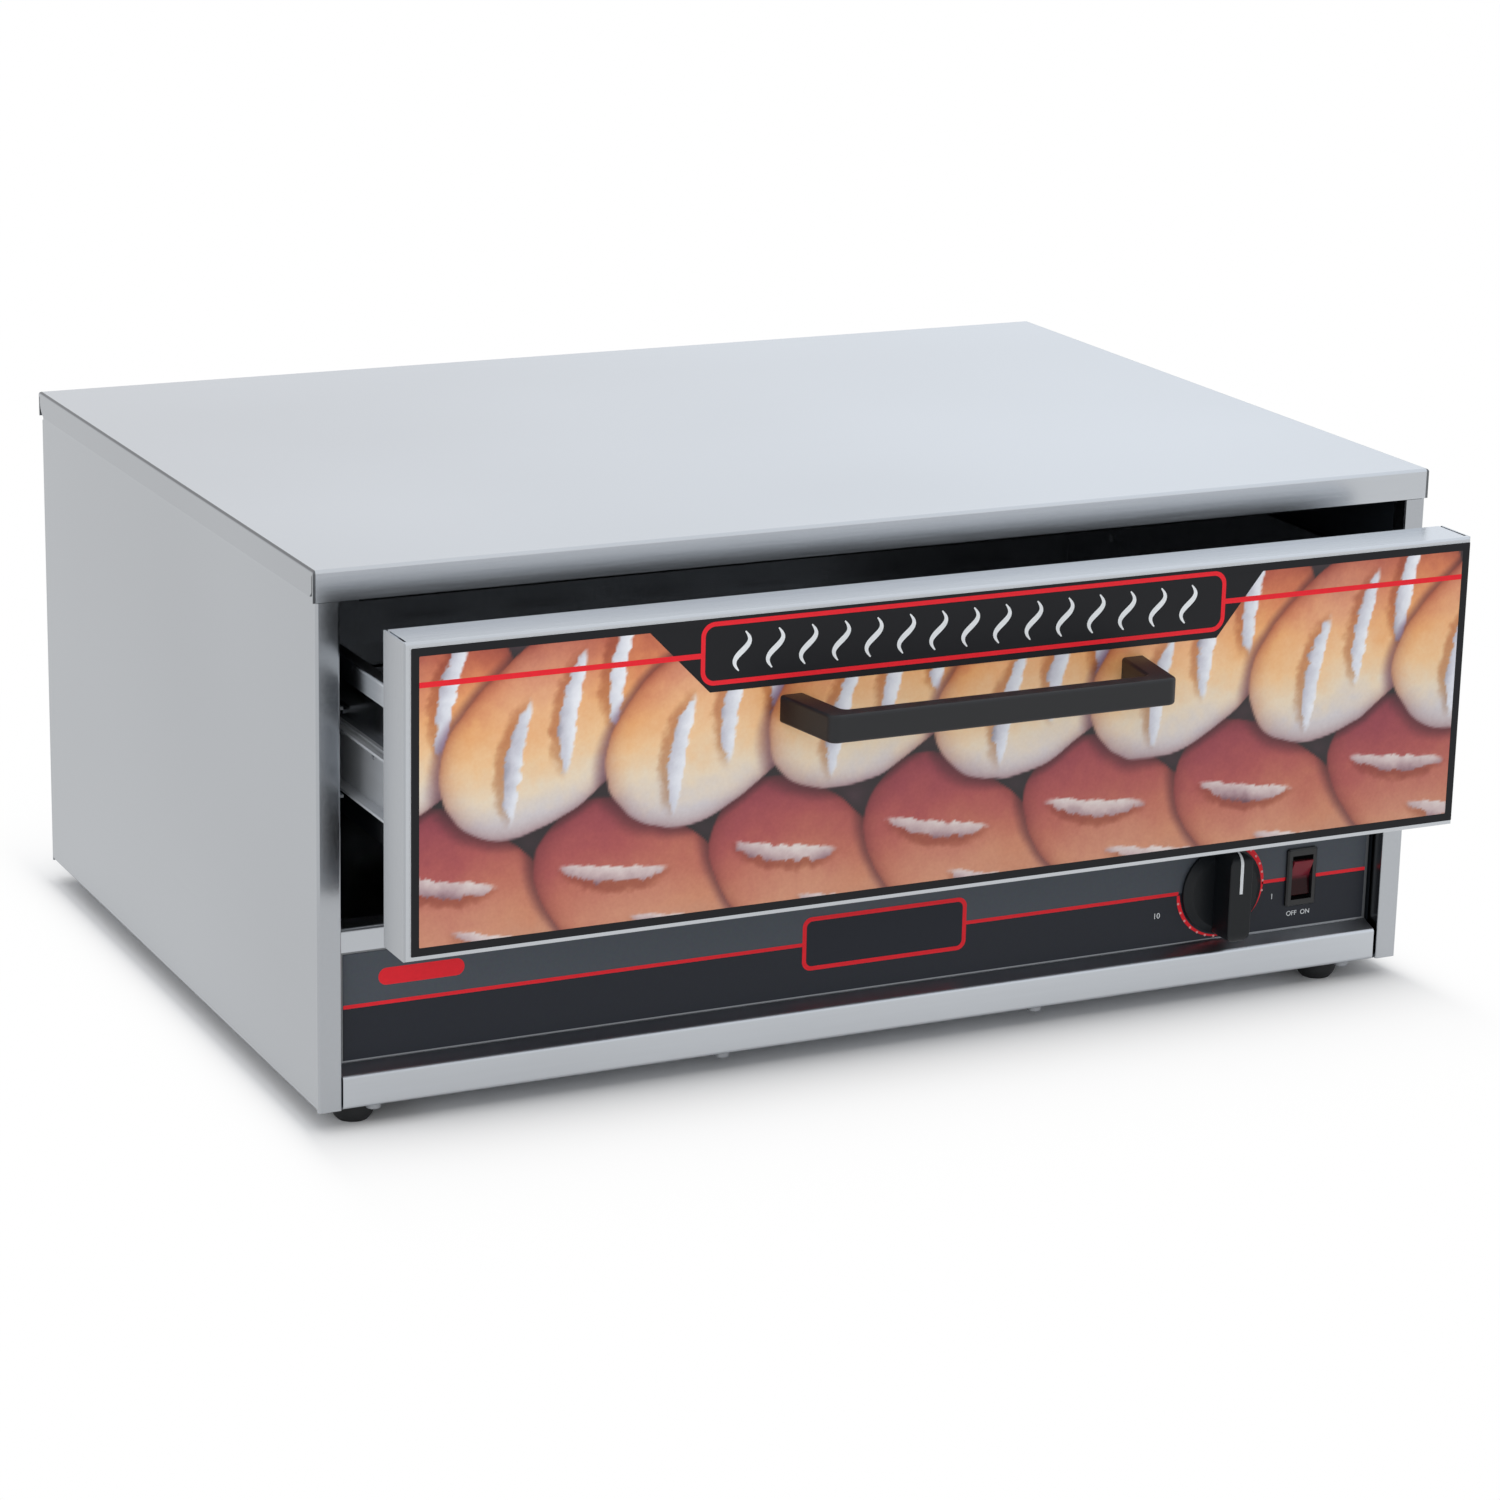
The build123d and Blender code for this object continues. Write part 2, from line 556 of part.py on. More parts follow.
def control_panel():
    """One sheet folded into foot flange, front rail, sloped ledge, recessed panel and top flange."""
    half_sheet = SHEET / 2
    section = folded([
        (FRONT_Y + PANEL_FOOT_FLANGE, BASE_Z + half_sheet),
        (FRONT_Y + half_sheet, BASE_Z + half_sheet),
        (FRONT_Y + half_sheet, RAIL_TOP_Z - half_sheet),
        (PANEL_Y + half_sheet, PANEL_BOTTOM_Z - half_sheet),
        (PANEL_Y + half_sheet, PANEL_TOP_Z - half_sheet),
        (PANEL_Y + PANEL_TOP_FLANGE, PANEL_TOP_Z - half_sheet),
    ])
    panel = along_x(section, (PANEL_LEFT, PANEL_RIGHT))
    through = (PANEL_Y - CUT_BEYOND, PANEL_BACK_Y + CUT_BEYOND)
    panel -= rod(BUSHING_RADIUS + HOLE_SLACK, (KNOB_X, through[0], KNOB_Z), (KNOB_X, through[1], KNOB_Z))
    panel -= switch_opening(through)
    flange_y = (FRONT_Y + SHEET + INSIDE_BEND, FRONT_Y + PANEL_FOOT_FLANGE)
    flange_end = SIDE_OUTER_X - BOTTOM_FLANGE - SHEET
    for side in (-1, 1):
        beyond = sorted((side * flange_end, side * CABINET_WIDTH / 2))
        panel -= block(beyond, flange_y, (BASE_Z - CUT_BEYOND, BASE_Z + SHEET + SEAM))
    for place in BASE_SCREWS[1:-1]:
        panel -= screw_hole(place, DOWNWARD, 2 * SHEET)
    for place in thermostat_screw_places():
        panel -= screw_hole(place, FORWARD, 2 * SHEET)
    return panel


def switch_opening(y_range):
    """The cut-out that the rocker switch's body passes through."""
    return switch_block(SWITCH_BODY_WIDTH + 2 * HOLE_SLACK, SWITCH_BODY_HEIGHT + 2 * HOLE_SLACK, y_range)


def control_overlay():
    """Printed film on the recessed panel."""
    half = OVERLAY_WIDTH / 2
    film = block((-half, half), (OVERLAY_Y, PANEL_Y), (OVERLAY_BOTTOM_Z, OVERLAY_BOTTOM_Z + OVERLAY_HEIGHT))
    around = (OVERLAY_Y - CUT_BEYOND, PANEL_Y + CUT_BEYOND)
    clearance = SMALL_HEAD_RADIUS + HOLE_SLACK
    film -= rod(BUSHING_RADIUS + clearance, (KNOB_X, around[0], KNOB_Z), (KNOB_X, around[1], KNOB_Z))
    for x, _, z in thermostat_screw_places():
        film -= rod(clearance, (x, around[0], z), (x, around[1], z))
    return film - switch_opening(around)


def thermostat_screw_places():
    """Where the thermostat's two screws stand on the panel, under the knob's skirt."""
    return [(KNOB_X + side * THERMOSTAT_SCREW_SPACING / 2, PANEL_Y, KNOB_Z) for side in (-1, 1)]


def feet():
    """Four round rubber feet, bowl-shaped towards a flat tread, each with a recess for its screw."""
    bore = SMALL_SHANK_RADIUS + HOLE_SLACK
    bowl = TangentArc((FOOT_RADIUS, FOOT_ROUND), (FOOT_TREAD_RADIUS, 0), tangent=(0, -1))
    walls = Polyline(
        (FOOT_RADIUS, FOOT_ROUND), (FOOT_RADIUS, FOOT_HEIGHT), (bore, FOOT_HEIGHT),
        (bore, FOOT_RECESS_DEPTH), (FOOT_RECESS_RADIUS, FOOT_RECESS_DEPTH),
        (FOOT_RECESS_RADIUS, 0), (FOOT_TREAD_RADIUS, 0),
    )
    foot = revolve(Plane.XZ * make_face(bowl + walls), axis=Axis.Z)
    return group(Pos(x, y, 0) * foot for x, y in FOOT_PLACES)


def left_liner():
    """Inner wall of the heated space, with flanges turned outwards at its foot and head."""
    middle_x = -OPENING_X - THIN_SHEET / 2
    section = folded([
        (middle_x - LINER_FLANGE + THIN_SHEET, PAN_TOP_Z + THIN_SHEET / 2),
        (middle_x, PAN_TOP_Z + THIN_SHEET / 2),
        (middle_x, UNDER_COVER_Z - SHEET - THIN_SHEET / 2),
        (middle_x - LINER_FLANGE + THIN_SHEET, UNDER_COVER_Z - SHEET - THIN_SHEET / 2),
    ], thickness=THIN_SHEET)
    wall = along_y(section, (LINER_FRONT_Y, REAR_LINER_Y + PAN_FLANGE - 2 * SHEET))
    for place in cabinet_slide_screw_places():
        wall -= screw_hole(place, (1, 0, 0), SLIDE_SCREW_REACH + SHEET)
    return wall


def rear_liner():
    """Rear wall of the heated space, with flanges turned back between the side walls."""
    middle_x = OPENING_X - THIN_SHEET / 2
    section = folded([
        (-middle_x, REAR_LINER_Y + REAR_LINER_FLANGE),
        (-middle_x, REAR_LINER_Y + THIN_SHEET / 2),
        (middle_x, REAR_LINER_Y + THIN_SHEET / 2),
        (middle_x, REAR_LINER_Y + REAR_LINER_FLANGE),
    ], thickness=THIN_SHEET)
    return along_z(section, (DECK_TOP_Z - THIN_SHEET, UNDER_COVER_Z - SHEET - SEAM))


def heater_deck():
    """Floor of the heated space: a sheet with its long edges turned down."""
    middle_x = OPENING_X - THIN_SHEET / 2
    middle_z = DECK_TOP_Z - THIN_SHEET / 2
    section = folded([
        (-middle_x, middle_z - DECK_FLANGE), (-middle_x, middle_z),
        (middle_x, middle_z), (middle_x, middle_z - DECK_FLANGE),
    ], thickness=THIN_SHEET)
    deck = along_y(section, (PANEL_BACK_Y + INSIDE_BEND, REAR_LINER_Y))
    collar_hole = CERAMIC_NECK_RADIUS + HOLE_SLACK
    holes = [(ELEMENT_TAIL_X, y, collar_hole) for y in (ELEMENT_ROW_Y[0], ELEMENT_ROW_Y[-1])]
    holes.append((*capillary_hole(), CAPILLARY_HOLE_RADIUS))
    for x, y, radius in holes:
        deck -= rod(radius, (x, y, DECK_TOP_Z - 2 * SHEET), (x, y, DECK_TOP_Z + SHEET))
    return deck


def ceiling_pan():
    """Shallow tray under the cover that holds the insulation."""
    front, rear = FRONT_Y + CEILING_FRONT_INSET, REAR_LINER_Y - SEAM
    outside = block((-CEILING_HALF, CEILING_HALF), (front, rear), (CEILING_BOTTOM_Z, UNDER_COVER_Z))
    outside = fillet(outside.edges().group_by(Axis.Z)[0], INSIDE_BEND + THIN_SHEET)
    inner_half = CEILING_HALF - THIN_SHEET
    inside = block(
        (-inner_half, inner_half), (front + THIN_SHEET, rear - THIN_SHEET),
        (CEILING_BOTTOM_Z + THIN_SHEET, UNDER_COVER_Z + CUT_BEYOND),
    )
    return outside - inside


def top_insulation():
    """Mineral-wool blanket that lies in the ceiling pan."""
    margin = THIN_SHEET + INSULATION_CLEARANCE
    half = CEILING_HALF - margin
    return block(
        (-half, half), (FRONT_Y + CEILING_FRONT_INSET + margin, REAR_LINER_Y - SEAM - margin),
        (CEILING_BOTTOM_Z + THIN_SHEET, UNDER_COVER_Z - INSULATION_CLEARANCE),
    )


def drawer_front_pan():
    """Drawer face with flanges turned back all round, slit where they meet at the corners."""
    outside = block(
        (-DRAWER_HALF, DRAWER_HALF), (DRAWER_FACE_Y, DRAWER_BACK_Y), (DRAWER_BOTTOM_Z, DRAWER_TOP_Z)
    )
    outside = fillet(outside.edges().group_by(Axis.Y)[0], FRONT_PAN_ROUND)
    inner_half = DRAWER_HALF - SHEET
    inside = block(
        (-inner_half, inner_half), (DRAWER_FACE_Y + SHEET, DRAWER_BACK_Y + CUT_BEYOND),
        (DRAWER_BOTTOM_Z + SHEET, DRAWER_TOP_Z - SHEET),
    )
    pan = outside - inside
    slit_y = (DRAWER_FACE_Y + FRONT_PAN_SLIT_FROM_FACE, DRAWER_BACK_Y + CUT_BEYOND)
    for side in (-1, 1):
        slit_x = sorted((side * inner_half, side * (inner_half - FRONT_PAN_SLIT)))
        for z in (DRAWER_BOTTOM_Z, DRAWER_TOP_Z - SHEET):
            pan -= block(slit_x, slit_y, (z - SEAM, z + SHEET + SEAM))
    for x in (-HANDLE_LEG_X, HANDLE_LEG_X):
        pan -= screw_hole((x, DRAWER_FACE_Y + SHEET, HANDLE_Z), BACKWARD, 2 * SHEET)
    return pan


def drawer_front_backing():
    """Sheet that closes the front pan from behind, with flanges turned forward inside it."""
    section = folded([
        (DRAWER_BACK_Y - BACKING_FLANGE, DRAWER_BOTTOM_Z + 1.5 * SHEET),
        (DRAWER_BACK_Y - SHEET / 2, DRAWER_BOTTOM_Z + 1.5 * SHEET),
        (DRAWER_BACK_Y - SHEET / 2, DRAWER_TOP_Z - 1.5 * SHEET),
        (DRAWER_BACK_Y - BACKING_FLANGE, DRAWER_TOP_Z - 1.5 * SHEET),
    ])
    half = DRAWER_HALF - SHEET
    backing = along_x(section, (-half, half))
    for place in tub_screw_places():
        backing -= screw_hole(place, BACKWARD, 3 * SHEET)
    return backing


def picture_panel():
    """Printed panel on the drawer face, behind the handle."""
    low = DRAWER_BOTTOM_Z + PICTURE_MARGIN
    high = DRAWER_TOP_Z - PICTURE_MARGIN
    left = PICTURE_SHIFT - PICTURE_WIDTH / 2
    panel = block((left, left + PICTURE_WIDTH), (PICTURE_Y, DRAWER_FACE_Y), (low, high))
    for x in (-HANDLE_LEG_X, HANDLE_LEG_X):
        panel -= screw_hole((x, PICTURE_Y, HANDLE_Z), BACKWARD, 2 * SHEET)
    return panel


def drawer_handle():
    """Bridge handle: a flat bar on two legs that lean together, with rounded corners."""
    bar_y = -HANDLE_REACH
    lean = HANDLE_HALF_BASE - HANDLE_HALF_FRONT
    inner_front = HANDLE_HALF_FRONT - HANDLE_LEG + lean * HANDLE_BAR / HANDLE_REACH
    inner_base = HANDLE_HALF_BASE - HANDLE_LEG
    outline = make_face(Polyline(
        (-HANDLE_HALF_BASE, 0), (-HANDLE_HALF_FRONT, bar_y),
        (HANDLE_HALF_FRONT, bar_y), (HANDLE_HALF_BASE, 0),
        (inner_base, 0), (inner_front, bar_y + HANDLE_BAR),
        (-inner_front, bar_y + HANDLE_BAR), (-inner_base, 0),
        close=True,
    ))
    placed = Pos(0, PICTURE_Y) * outline
    handle = along_z(placed, (HANDLE_Z - HANDLE_HEIGHT / 2, HANDLE_Z + HANDLE_HEIGHT / 2))
    upright = handle.edges().filter_by(Axis.Z)
    outer = upright.filter_by(lambda edge: edge.center().Y < PICTURE_Y + bar_y + 0.1)
    handle = fillet(outer, HANDLE_CORNER)
    upright = handle.edges().filter_by(Axis.Z)
    inner = upright.filter_by(lambda edge: abs(edge.center().Y - (PICTURE_Y + bar_y + HANDLE_BAR)) < 0.1)
    handle = fillet(inner, HANDLE_INNER_CORNER)
    level = handle.edges().group_by(Axis.Z)
    rim = (level[0] + level[-1]).filter_by(lambda edge: edge.center().Y < PICTURE_Y - 0.1)
    handle = fillet(rim, HANDLE_EDGE)
    for x in (-HANDLE_LEG_X, HANDLE_LEG_X):
        hole_end = (x, PICTURE_Y - HANDLE_SCREW_REACH - CUT_BEYOND, HANDLE_Z)
        handle -= rod(SMALL_SHANK_RADIUS + HOLE_SLACK, (x, PICTURE_Y + CUT_BEYOND, HANDLE_Z), hole_end)
    return handle


def tub_screw_places():
    """Screws from inside the tub into the drawer front."""
    return [
        (side * x, DRAWER_BACK_Y + THIN_SHEET, TUB_BOTTOM_Z + height)
        for side in (-1, 1) for x in TUB_SCREW_X for height in TUB_SCREW_HEIGHTS
    ]


def drawer_tub():
    """Tub sheet: a slotted floor and two long walls that each end in a rim turned out and down."""
    middle = THIN_SHEET / 2
    wall_x = TUB_HALF - middle
    rim_x = TUB_HALF + RIM_WIDTH - middle
    half_section = [
        (rim_x, TUB_TOP_Z - RIM_LIP), (rim_x, TUB_TOP_Z - middle),
        (wall_x, TUB_TOP_Z - middle), (wall_x, TUB_BOTTOM_Z + middle),
    ]
    left_section = [(-x, z) for x, z in half_section]
    section = folded(left_section + half_section[::-1], thickness=THIN_SHEET, bend=TUB_BEND)
    tub = along_y(section, (DRAWER_BACK_Y, TUB_REAR_Y))
    pitch_x = 2 * TUB_HALF / TUB_SLOT_COLUMNS
    pitch_y = TUB_LENGTH / TUB_SLOT_ROWS
    slots = [
        Pos((column + 0.5) * pitch_x - TUB_HALF, DRAWER_BACK_Y + (row + 0.5) * pitch_y)
        * SlotOverall(TUB_SLOT_LENGTH, TUB_SLOT_WIDTH)
        for column in range(TUB_SLOT_COLUMNS)
        for row in range(TUB_SLOT_ROWS)
    ]
    tub -= along_z(Sketch() + slots, (TUB_BOTTOM_Z - CUT_BEYOND, TUB_BOTTOM_Z + THIN_SHEET + CUT_BEYOND))
    for place in drawer_slide_screw_places():
        hole = screw_hole(place, (-1, 0, 0), SLIDE_SCREW_REACH + SHEET)
        tub -= hole
        tub -= mirrored(hole)
    cut = hook_slot()
    tub -= cut
    return tub - mirrored(cut)


def tub_end_wall(front_y):
    """Plate welded in between the tub's long walls, standing on its floor."""
    half = TUB_HALF - THIN_SHEET
    wall = block((-half, half), (front_y, front_y + THIN_SHEET), (TUB_BOTTOM_Z + THIN_SHEET, TUB_TOP_Z))
    return chamfer(wall.edges().filter_by(Axis.Y).group_by(Axis.Z)[0], TUB_END_CORNER)


def tub_front_wall():
    """Front end wall, with the holes for the screws into the drawer front."""
    wall = tub_end_wall(DRAWER_BACK_Y)
    for place in tub_screw_places():
        wall -= screw_hole(place, BACKWARD, 2 * SHEET)
    return wall


def slide_x(from_liner):
    """Distance from the left liner wall, turned into an X place on the left slide."""
    return -OPENING_X + from_liner


def channel(web_from, web_to, depth_to, half_height, flange, races=()):
    """Section of a slide member: web and two flanges, with ball races at the given depths and heights."""
    near, far = sorted((web_from, depth_to))
    low_x = slide_x(near)
    width = far - near
    body = Pos(low_x, SLIDE_Z) * Rectangle(width, 2 * half_height, align=(Align.MIN, Align.CENTER))
    beyond = CUT_BEYOND if depth_to > web_to else -CUT_BEYOND
    hollow_from, hollow_to = sorted((web_to, depth_to + beyond))
    hollow = Pos(slide_x(hollow_from), SLIDE_Z) * Rectangle(
        hollow_to - hollow_from, 2 * (half_height - flange), align=(Align.MIN, Align.CENTER)
    )
    section = body - hollow
    for place, height in races:
        for side in (-1, 1):
            section -= Pos(slide_x(place), SLIDE_Z + side * height) * Circle(BALL_RADIUS + RACE_SLACK)
    return section


def slide_shift(share):
    """How far forward a member stands in the photograph, as a share of the drawer's opening."""
    return -share * DRAWER_OPEN


def member_range(share, setback=0.0, length=SLIDE_LENGTH):
    """A member's ends along Y with the drawer as photographed."""
    start = CLOSED_SLIDE_Y + setback + slide_shift(share)
    return (start, start + length)


def left_slide_outer():
    """Cabinet member, screwed to the liner."""
    races = [(OUTER_BALL_FROM_LINER, OUTER_BALL_Z)]
    section = channel(0, OUTER_WEB, OUTER_DEPTH, OUTER_HALF_HEIGHT, OUTER_FLANGE_THICKNESS, races)
    member = along_y(section, member_range(0))
    for place in cabinet_slide_screw_places():
        member -= screw_hole(place, (1, 0, 0), SLIDE_SCREW_REACH)
    return member


def left_slide_middle():
    """Middle member, which runs inside the cabinet member and carries the drawer member."""
    web_to = MIDDLE_WEB_FROM + MIDDLE_WEB
    depth_to = MIDDLE_WEB_FROM + MIDDLE_DEPTH
    races = [(OUTER_BALL_FROM_LINER, OUTER_BALL_Z), (INNER_BALL_FROM_LINER, INNER_BALL_Z)]
    section = channel(MIDDLE_WEB_FROM, web_to, depth_to, MIDDLE_HALF_HEIGHT, MIDDLE_FLANGE_THICKNESS, races)
    return along_y(section, member_range(0.5, MIDDLE_SETBACK, MIDDLE_LENGTH))


def left_slide_inner():
    """Drawer member, screwed to the tub, with a hook-shaped slot near its front end."""
    web_to = SLIDE_THICKNESS - INNER_WEB
    races = [(INNER_BALL_FROM_LINER, INNER_BALL_Z)]
    depth_to = web_to - INNER_FLANGE
    section = channel(SLIDE_THICKNESS, web_to, depth_to, INNER_HALF_HEIGHT, INNER_FLANGE_THICKNESS, races)
    member = along_y(section, member_range(1))
    for place in drawer_slide_screw_places():
        member -= screw_hole(place, (-1, 0, 0), SLIDE_SCREW_REACH)
    return member - hook_slot()


def hook_slot():
    """A hook-shaped slot through the drawer member's web and the tub's wall."""
    front = member_range(1)[0] + HOOK_SLOT_FROM_END
    back = front + HOOK_SLOT_LENGTH
    high = SLIDE_Z + INNER_HALF_HEIGHT - INNER_FLANGE_THICKNESS - HOOK_SLOT_BELOW_FLANGE
    x_range = (
        slide_x(SLIDE_THICKNESS - INNER_WEB) - CUT_BEYOND, slide_x(SLIDE_THICKNESS) + THIN_SHEET + CUT_BEYOND
    )
    slot = block(x_range, (front, back), (high - HOOK_SLOT_WIDTH, high))
    return slot + block(x_range, (back - HOOK_SLOT_WIDTH, back), (high - HOOK_SLOT_HEIGHT, high))


def cage(web_from, ball_place, ball_height, start, share):
    """Ball cage: a thin channel with a row of balls held in holes along each flange."""
    ball_x = slide_x(ball_place)
    depth_to = ball_place + BALL_RADIUS + CAGE_LIP
    half_height = ball_height + CAGE_THICKNESS / 2
    strip = channel(web_from, web_from + CAGE_THICKNESS, depth_to, half_height, CAGE_THICKNESS)
    front = CLOSED_SLIDE_Y + start + slide_shift(share)
    holder = along_y(strip, (front, front + CAGE_LENGTH))
    first_ball = front + (CAGE_LENGTH - (BALLS_PER_ROW - 1) * BALL_PITCH) / 2
    balls = []
    for number in range(BALLS_PER_ROW):
        y = first_ball + number * BALL_PITCH
        for side in (-1, 1):
            z = SLIDE_Z + side * ball_height
            holder -= Pos(ball_x, y, z) * Cylinder(BALL_RADIUS + CAGE_HOLE_SLACK, 2 * CAGE_THICKNESS)
            balls.append(Pos(ball_x, y, z) * Sphere(BALL_RADIUS))
    return holder, balls


def left_outer_cage():
    """Cage between the cabinet member and the middle member."""
    holder, balls = cage(OUTER_CAGE_WEB_FROM, OUTER_BALL_FROM_LINER, OUTER_BALL_Z, OUTER_CAGE_START, 0.25)
    return group([*holder.solids(), *balls])


def left_inner_cage():
    """Cage between the middle member and the drawer member."""
    holder, balls = cage(INNER_CAGE_WEB_FROM, INNER_BALL_FROM_LINER, INNER_BALL_Z, INNER_CAGE_START, 0.75)
    return group([*holder.solids(), *balls])


def cabinet_slide_screw_places():
    """Screws through the cabinet member near its ends, beyond the reach of the cage."""
    front = member_range(0)[0]
    return [(slide_x(OUTER_WEB), front + step, SLIDE_Z) for step in CABINET_SLIDE_SCREWS_FROM_FRONT]


def drawer_slide_screw_places():
    """Screws through the drawer member into the tub."""
    front = member_range(1)[0]
    x = slide_x(SLIDE_THICKNESS - INNER_WEB)
    return [(x, front + step, SLIDE_Z) for step in DRAWER_SLIDE_SCREWS_FROM_FRONT]


def slide_screws(places, direction, head_height):
    """The screws of both slides that belong to one body."""
    left = [screw(place, direction, SLIDE_SCREW_REACH, head_height=head_height) for place in places]
    return group(left + [mirrored(piece) for piece in left])


def control_knob():
    """Moulded knob: a skirt and a bar grip with rounded ends, whose sides draw in towards its face."""
    back_y = OVERLAY_Y - KNOB_GAP
    skirt_profile = make_face(Polyline(
        (0, 0), (SKIRT_RADIUS, 0), (SKIRT_RADIUS, SKIRT_RIM),
        (SKIRT_TOP_RADIUS, SKIRT_HEIGHT), (0, SKIRT_HEIGHT), close=True,
    ))
    skirt = revolve(Plane.XZ * skirt_profile, axis=Axis.Z)
    grip_length = 2 * GRIP_HALF_LENGTH
    low = Plane.XY.offset(SKIRT_RIM) * SlotOverall(grip_length, GRIP_WIDTH)
    high = Plane.XY.offset(KNOB_HEIGHT) * SlotOverall(grip_length, GRIP_FACE_WIDTH)
    grip = loft([low.face(), high.face()])
    grip = fillet(grip.edges().group_by(Axis.Z)[-1], GRIP_EDGE)
    ends = block((-GRIP_HALF_LENGTH, GRIP_HALF_LENGTH), (-GRIP_WIDTH, GRIP_WIDTH), (0, KNOB_HEIGHT))
    ends = fillet(ends.edges().filter_by(Axis.Y).group_by(Axis.Z)[-1], GRIP_END_ROUND)
    knob = skirt + Rot(0, 0, 90) * (grip & ends)
    hub = Cylinder(SHAFT_RADIUS + KNOB_HUB_WALL, 2 * KNOB_HOLLOW_DEPTH)
    knob -= Cylinder(KNOB_HOLLOW_RADIUS, 2 * KNOB_HOLLOW_DEPTH) - hub
    knob -= shaft_section(SHAFT_SLACK, (-CUT_BEYOND, SHAFT_REACH + SHAFT_SLACK))
    return Pos(KNOB_X, back_y, KNOB_Z) * Rot(90, 0, 0) * knob


def shaft_section(slack, z_range):
    """A round shaft with one flat, along Z."""
    section = Circle(SHAFT_RADIUS + slack)
    section -= Pos(0, SHAFT_FLAT + slack) * Rectangle(4 * SHAFT_RADIUS, 4, align=(Align.CENTER, Align.MIN))
    return along_z(section, z_range)


def thermostat_shaft():
    """Shaft that turns with the knob."""
    inward = KNOB_GAP + OVERLAY_THICKNESS + SHEET + SHAFT_INSIDE_CASE
    shaft = shaft_section(0, (-KNOB_GAP, SHAFT_REACH))
    shaft += rod(SHAFT_RADIUS, (0, 0, -inward), (0, 0, SEAM - KNOB_GAP))
    return Pos(KNOB_X, OVERLAY_Y - KNOB_GAP, KNOB_Z) * Rot(90, 0, 0) * shaft


def thermostat_body():
    """Thermostat behind the panel, with the bushing that its shaft turns in."""
    half_width = THERMOSTAT_WIDTH / 2
    half_height = THERMOSTAT_HEIGHT / 2
    case = block(
        (KNOB_X - half_width, KNOB_X + half_width), (PANEL_BACK_Y, PANEL_BACK_Y + THERMOSTAT_DEPTH),
        (KNOB_Z - half_height, KNOB_Z + half_height),
    )
    case = fillet(case.edges().filter_by(Axis.Y), THERMOSTAT_CORNER)
    case = chamfer(case.edges().group_by(Axis.Y)[-1], THERMOSTAT_EDGE)
    case += rod(BUSHING_RADIUS, (KNOB_X, PANEL_BACK_Y + SHEET, KNOB_Z), (KNOB_X, OVERLAY_Y, KNOB_Z))
    bore_end = (KNOB_X, PANEL_BACK_Y + SHAFT_INSIDE_CASE + SHAFT_SLACK, KNOB_Z)
    case -= rod(SHAFT_RADIUS + SHAFT_SLACK, (KNOB_X, OVERLAY_Y - CUT_BEYOND, KNOB_Z), bore_end)
    for x, _, z in thermostat_screw_places():
        hole_end = (x, PANEL_Y + PANEL_SCREW_REACH + CUT_BEYOND, z)
        case -= rod(SMALL_SHANK_RADIUS + HOLE_SLACK, (x, PANEL_BACK_Y - CUT_BEYOND, z), hole_end)
    return case


def rocker_switch_body():
    """Switch housing: a bezel on the panel, a body through it and a well with two pivot holes."""
    face = OVERLAY_Y - BEZEL_THICKNESS
    bezel = switch_block(BEZEL_WIDTH, BEZEL_HEIGHT, (face, OVERLAY_Y))
    bezel = fillet(bezel.edges().filter_by(Axis.Y), BEZEL_CORNER)
    bezel = chamfer(bezel.edges().group_by(Axis.Y)[0], BEZEL_EDGE)
    body = bezel + switch_block(
        SWITCH_BODY_WIDTH, SWITCH_BODY_HEIGHT, (OVERLAY_Y, PANEL_BACK_Y + SWITCH_BODY_DEPTH)
    )
    body -= switch_block(WELL_WIDTH, WELL_HEIGHT, (face - CUT_BEYOND, face + WELL_DEPTH))
    pivot_y = face + ROCKER_PIVOT_DEPTH
    reach = WELL_WIDTH / 2 + ROCKER_PIN_REACH + SEAM
    pivot_ends = [(SWITCH_X + side * reach, pivot_y, SWITCH_MIDDLE_Z) for side in (-1, 1)]
    return body - rod(ROCKER_PIN_RADIUS + ROCKER_PIN_SLACK, *pivot_ends)


def switch_block(width, height, y_range):
    """A block centred on the rocker switch."""
    x_range = (SWITCH_X - width / 2, SWITCH_X + width / 2)
    return block(x_range, y_range, (SWITCH_MIDDLE_Z - height / 2, SWITCH_MIDDLE_Z + height / 2))


def rocker():
    """Rocker with two faces in a shallow V, a rounded back and a pin at each side."""
    half = ROCKER_LENGTH / 2
    rise = half * math.tan(math.radians(ROCKER_TILT))
    outline = make_face(Polyline(
        (-rise - 2.4, half), (-1.2, 0), (-rise - 2.4, -half), (2.0, -half + 2.0), (ROCKER_DEPTH - 1.0, -3.0),
        (ROCKER_DEPTH - 1.0, 3.0), (2.0, half - 2.0), close=True,
    ))
    wedge = along_x(outline, (-ROCKER_WIDTH / 2, ROCKER_WIDTH / 2))
    wedge = fillet(wedge.edges().filter_by(Axis.X).group_by(Axis.Y)[0], ROCKER_EDGE)
    pin_reach = WELL_WIDTH / 2 + ROCKER_PIN_REACH
    wedge += rod(ROCKER_PIN_RADIUS, (-pin_reach, 0, 0), (pin_reach, 0, 0))
    pivot = (SWITCH_X, OVERLAY_Y - BEZEL_THICKNESS + ROCKER_PIVOT_DEPTH, SWITCH_MIDDLE_Z)
    return Pos(*pivot) * Rot(ROCKER_TILT, 0, 0) * wedge


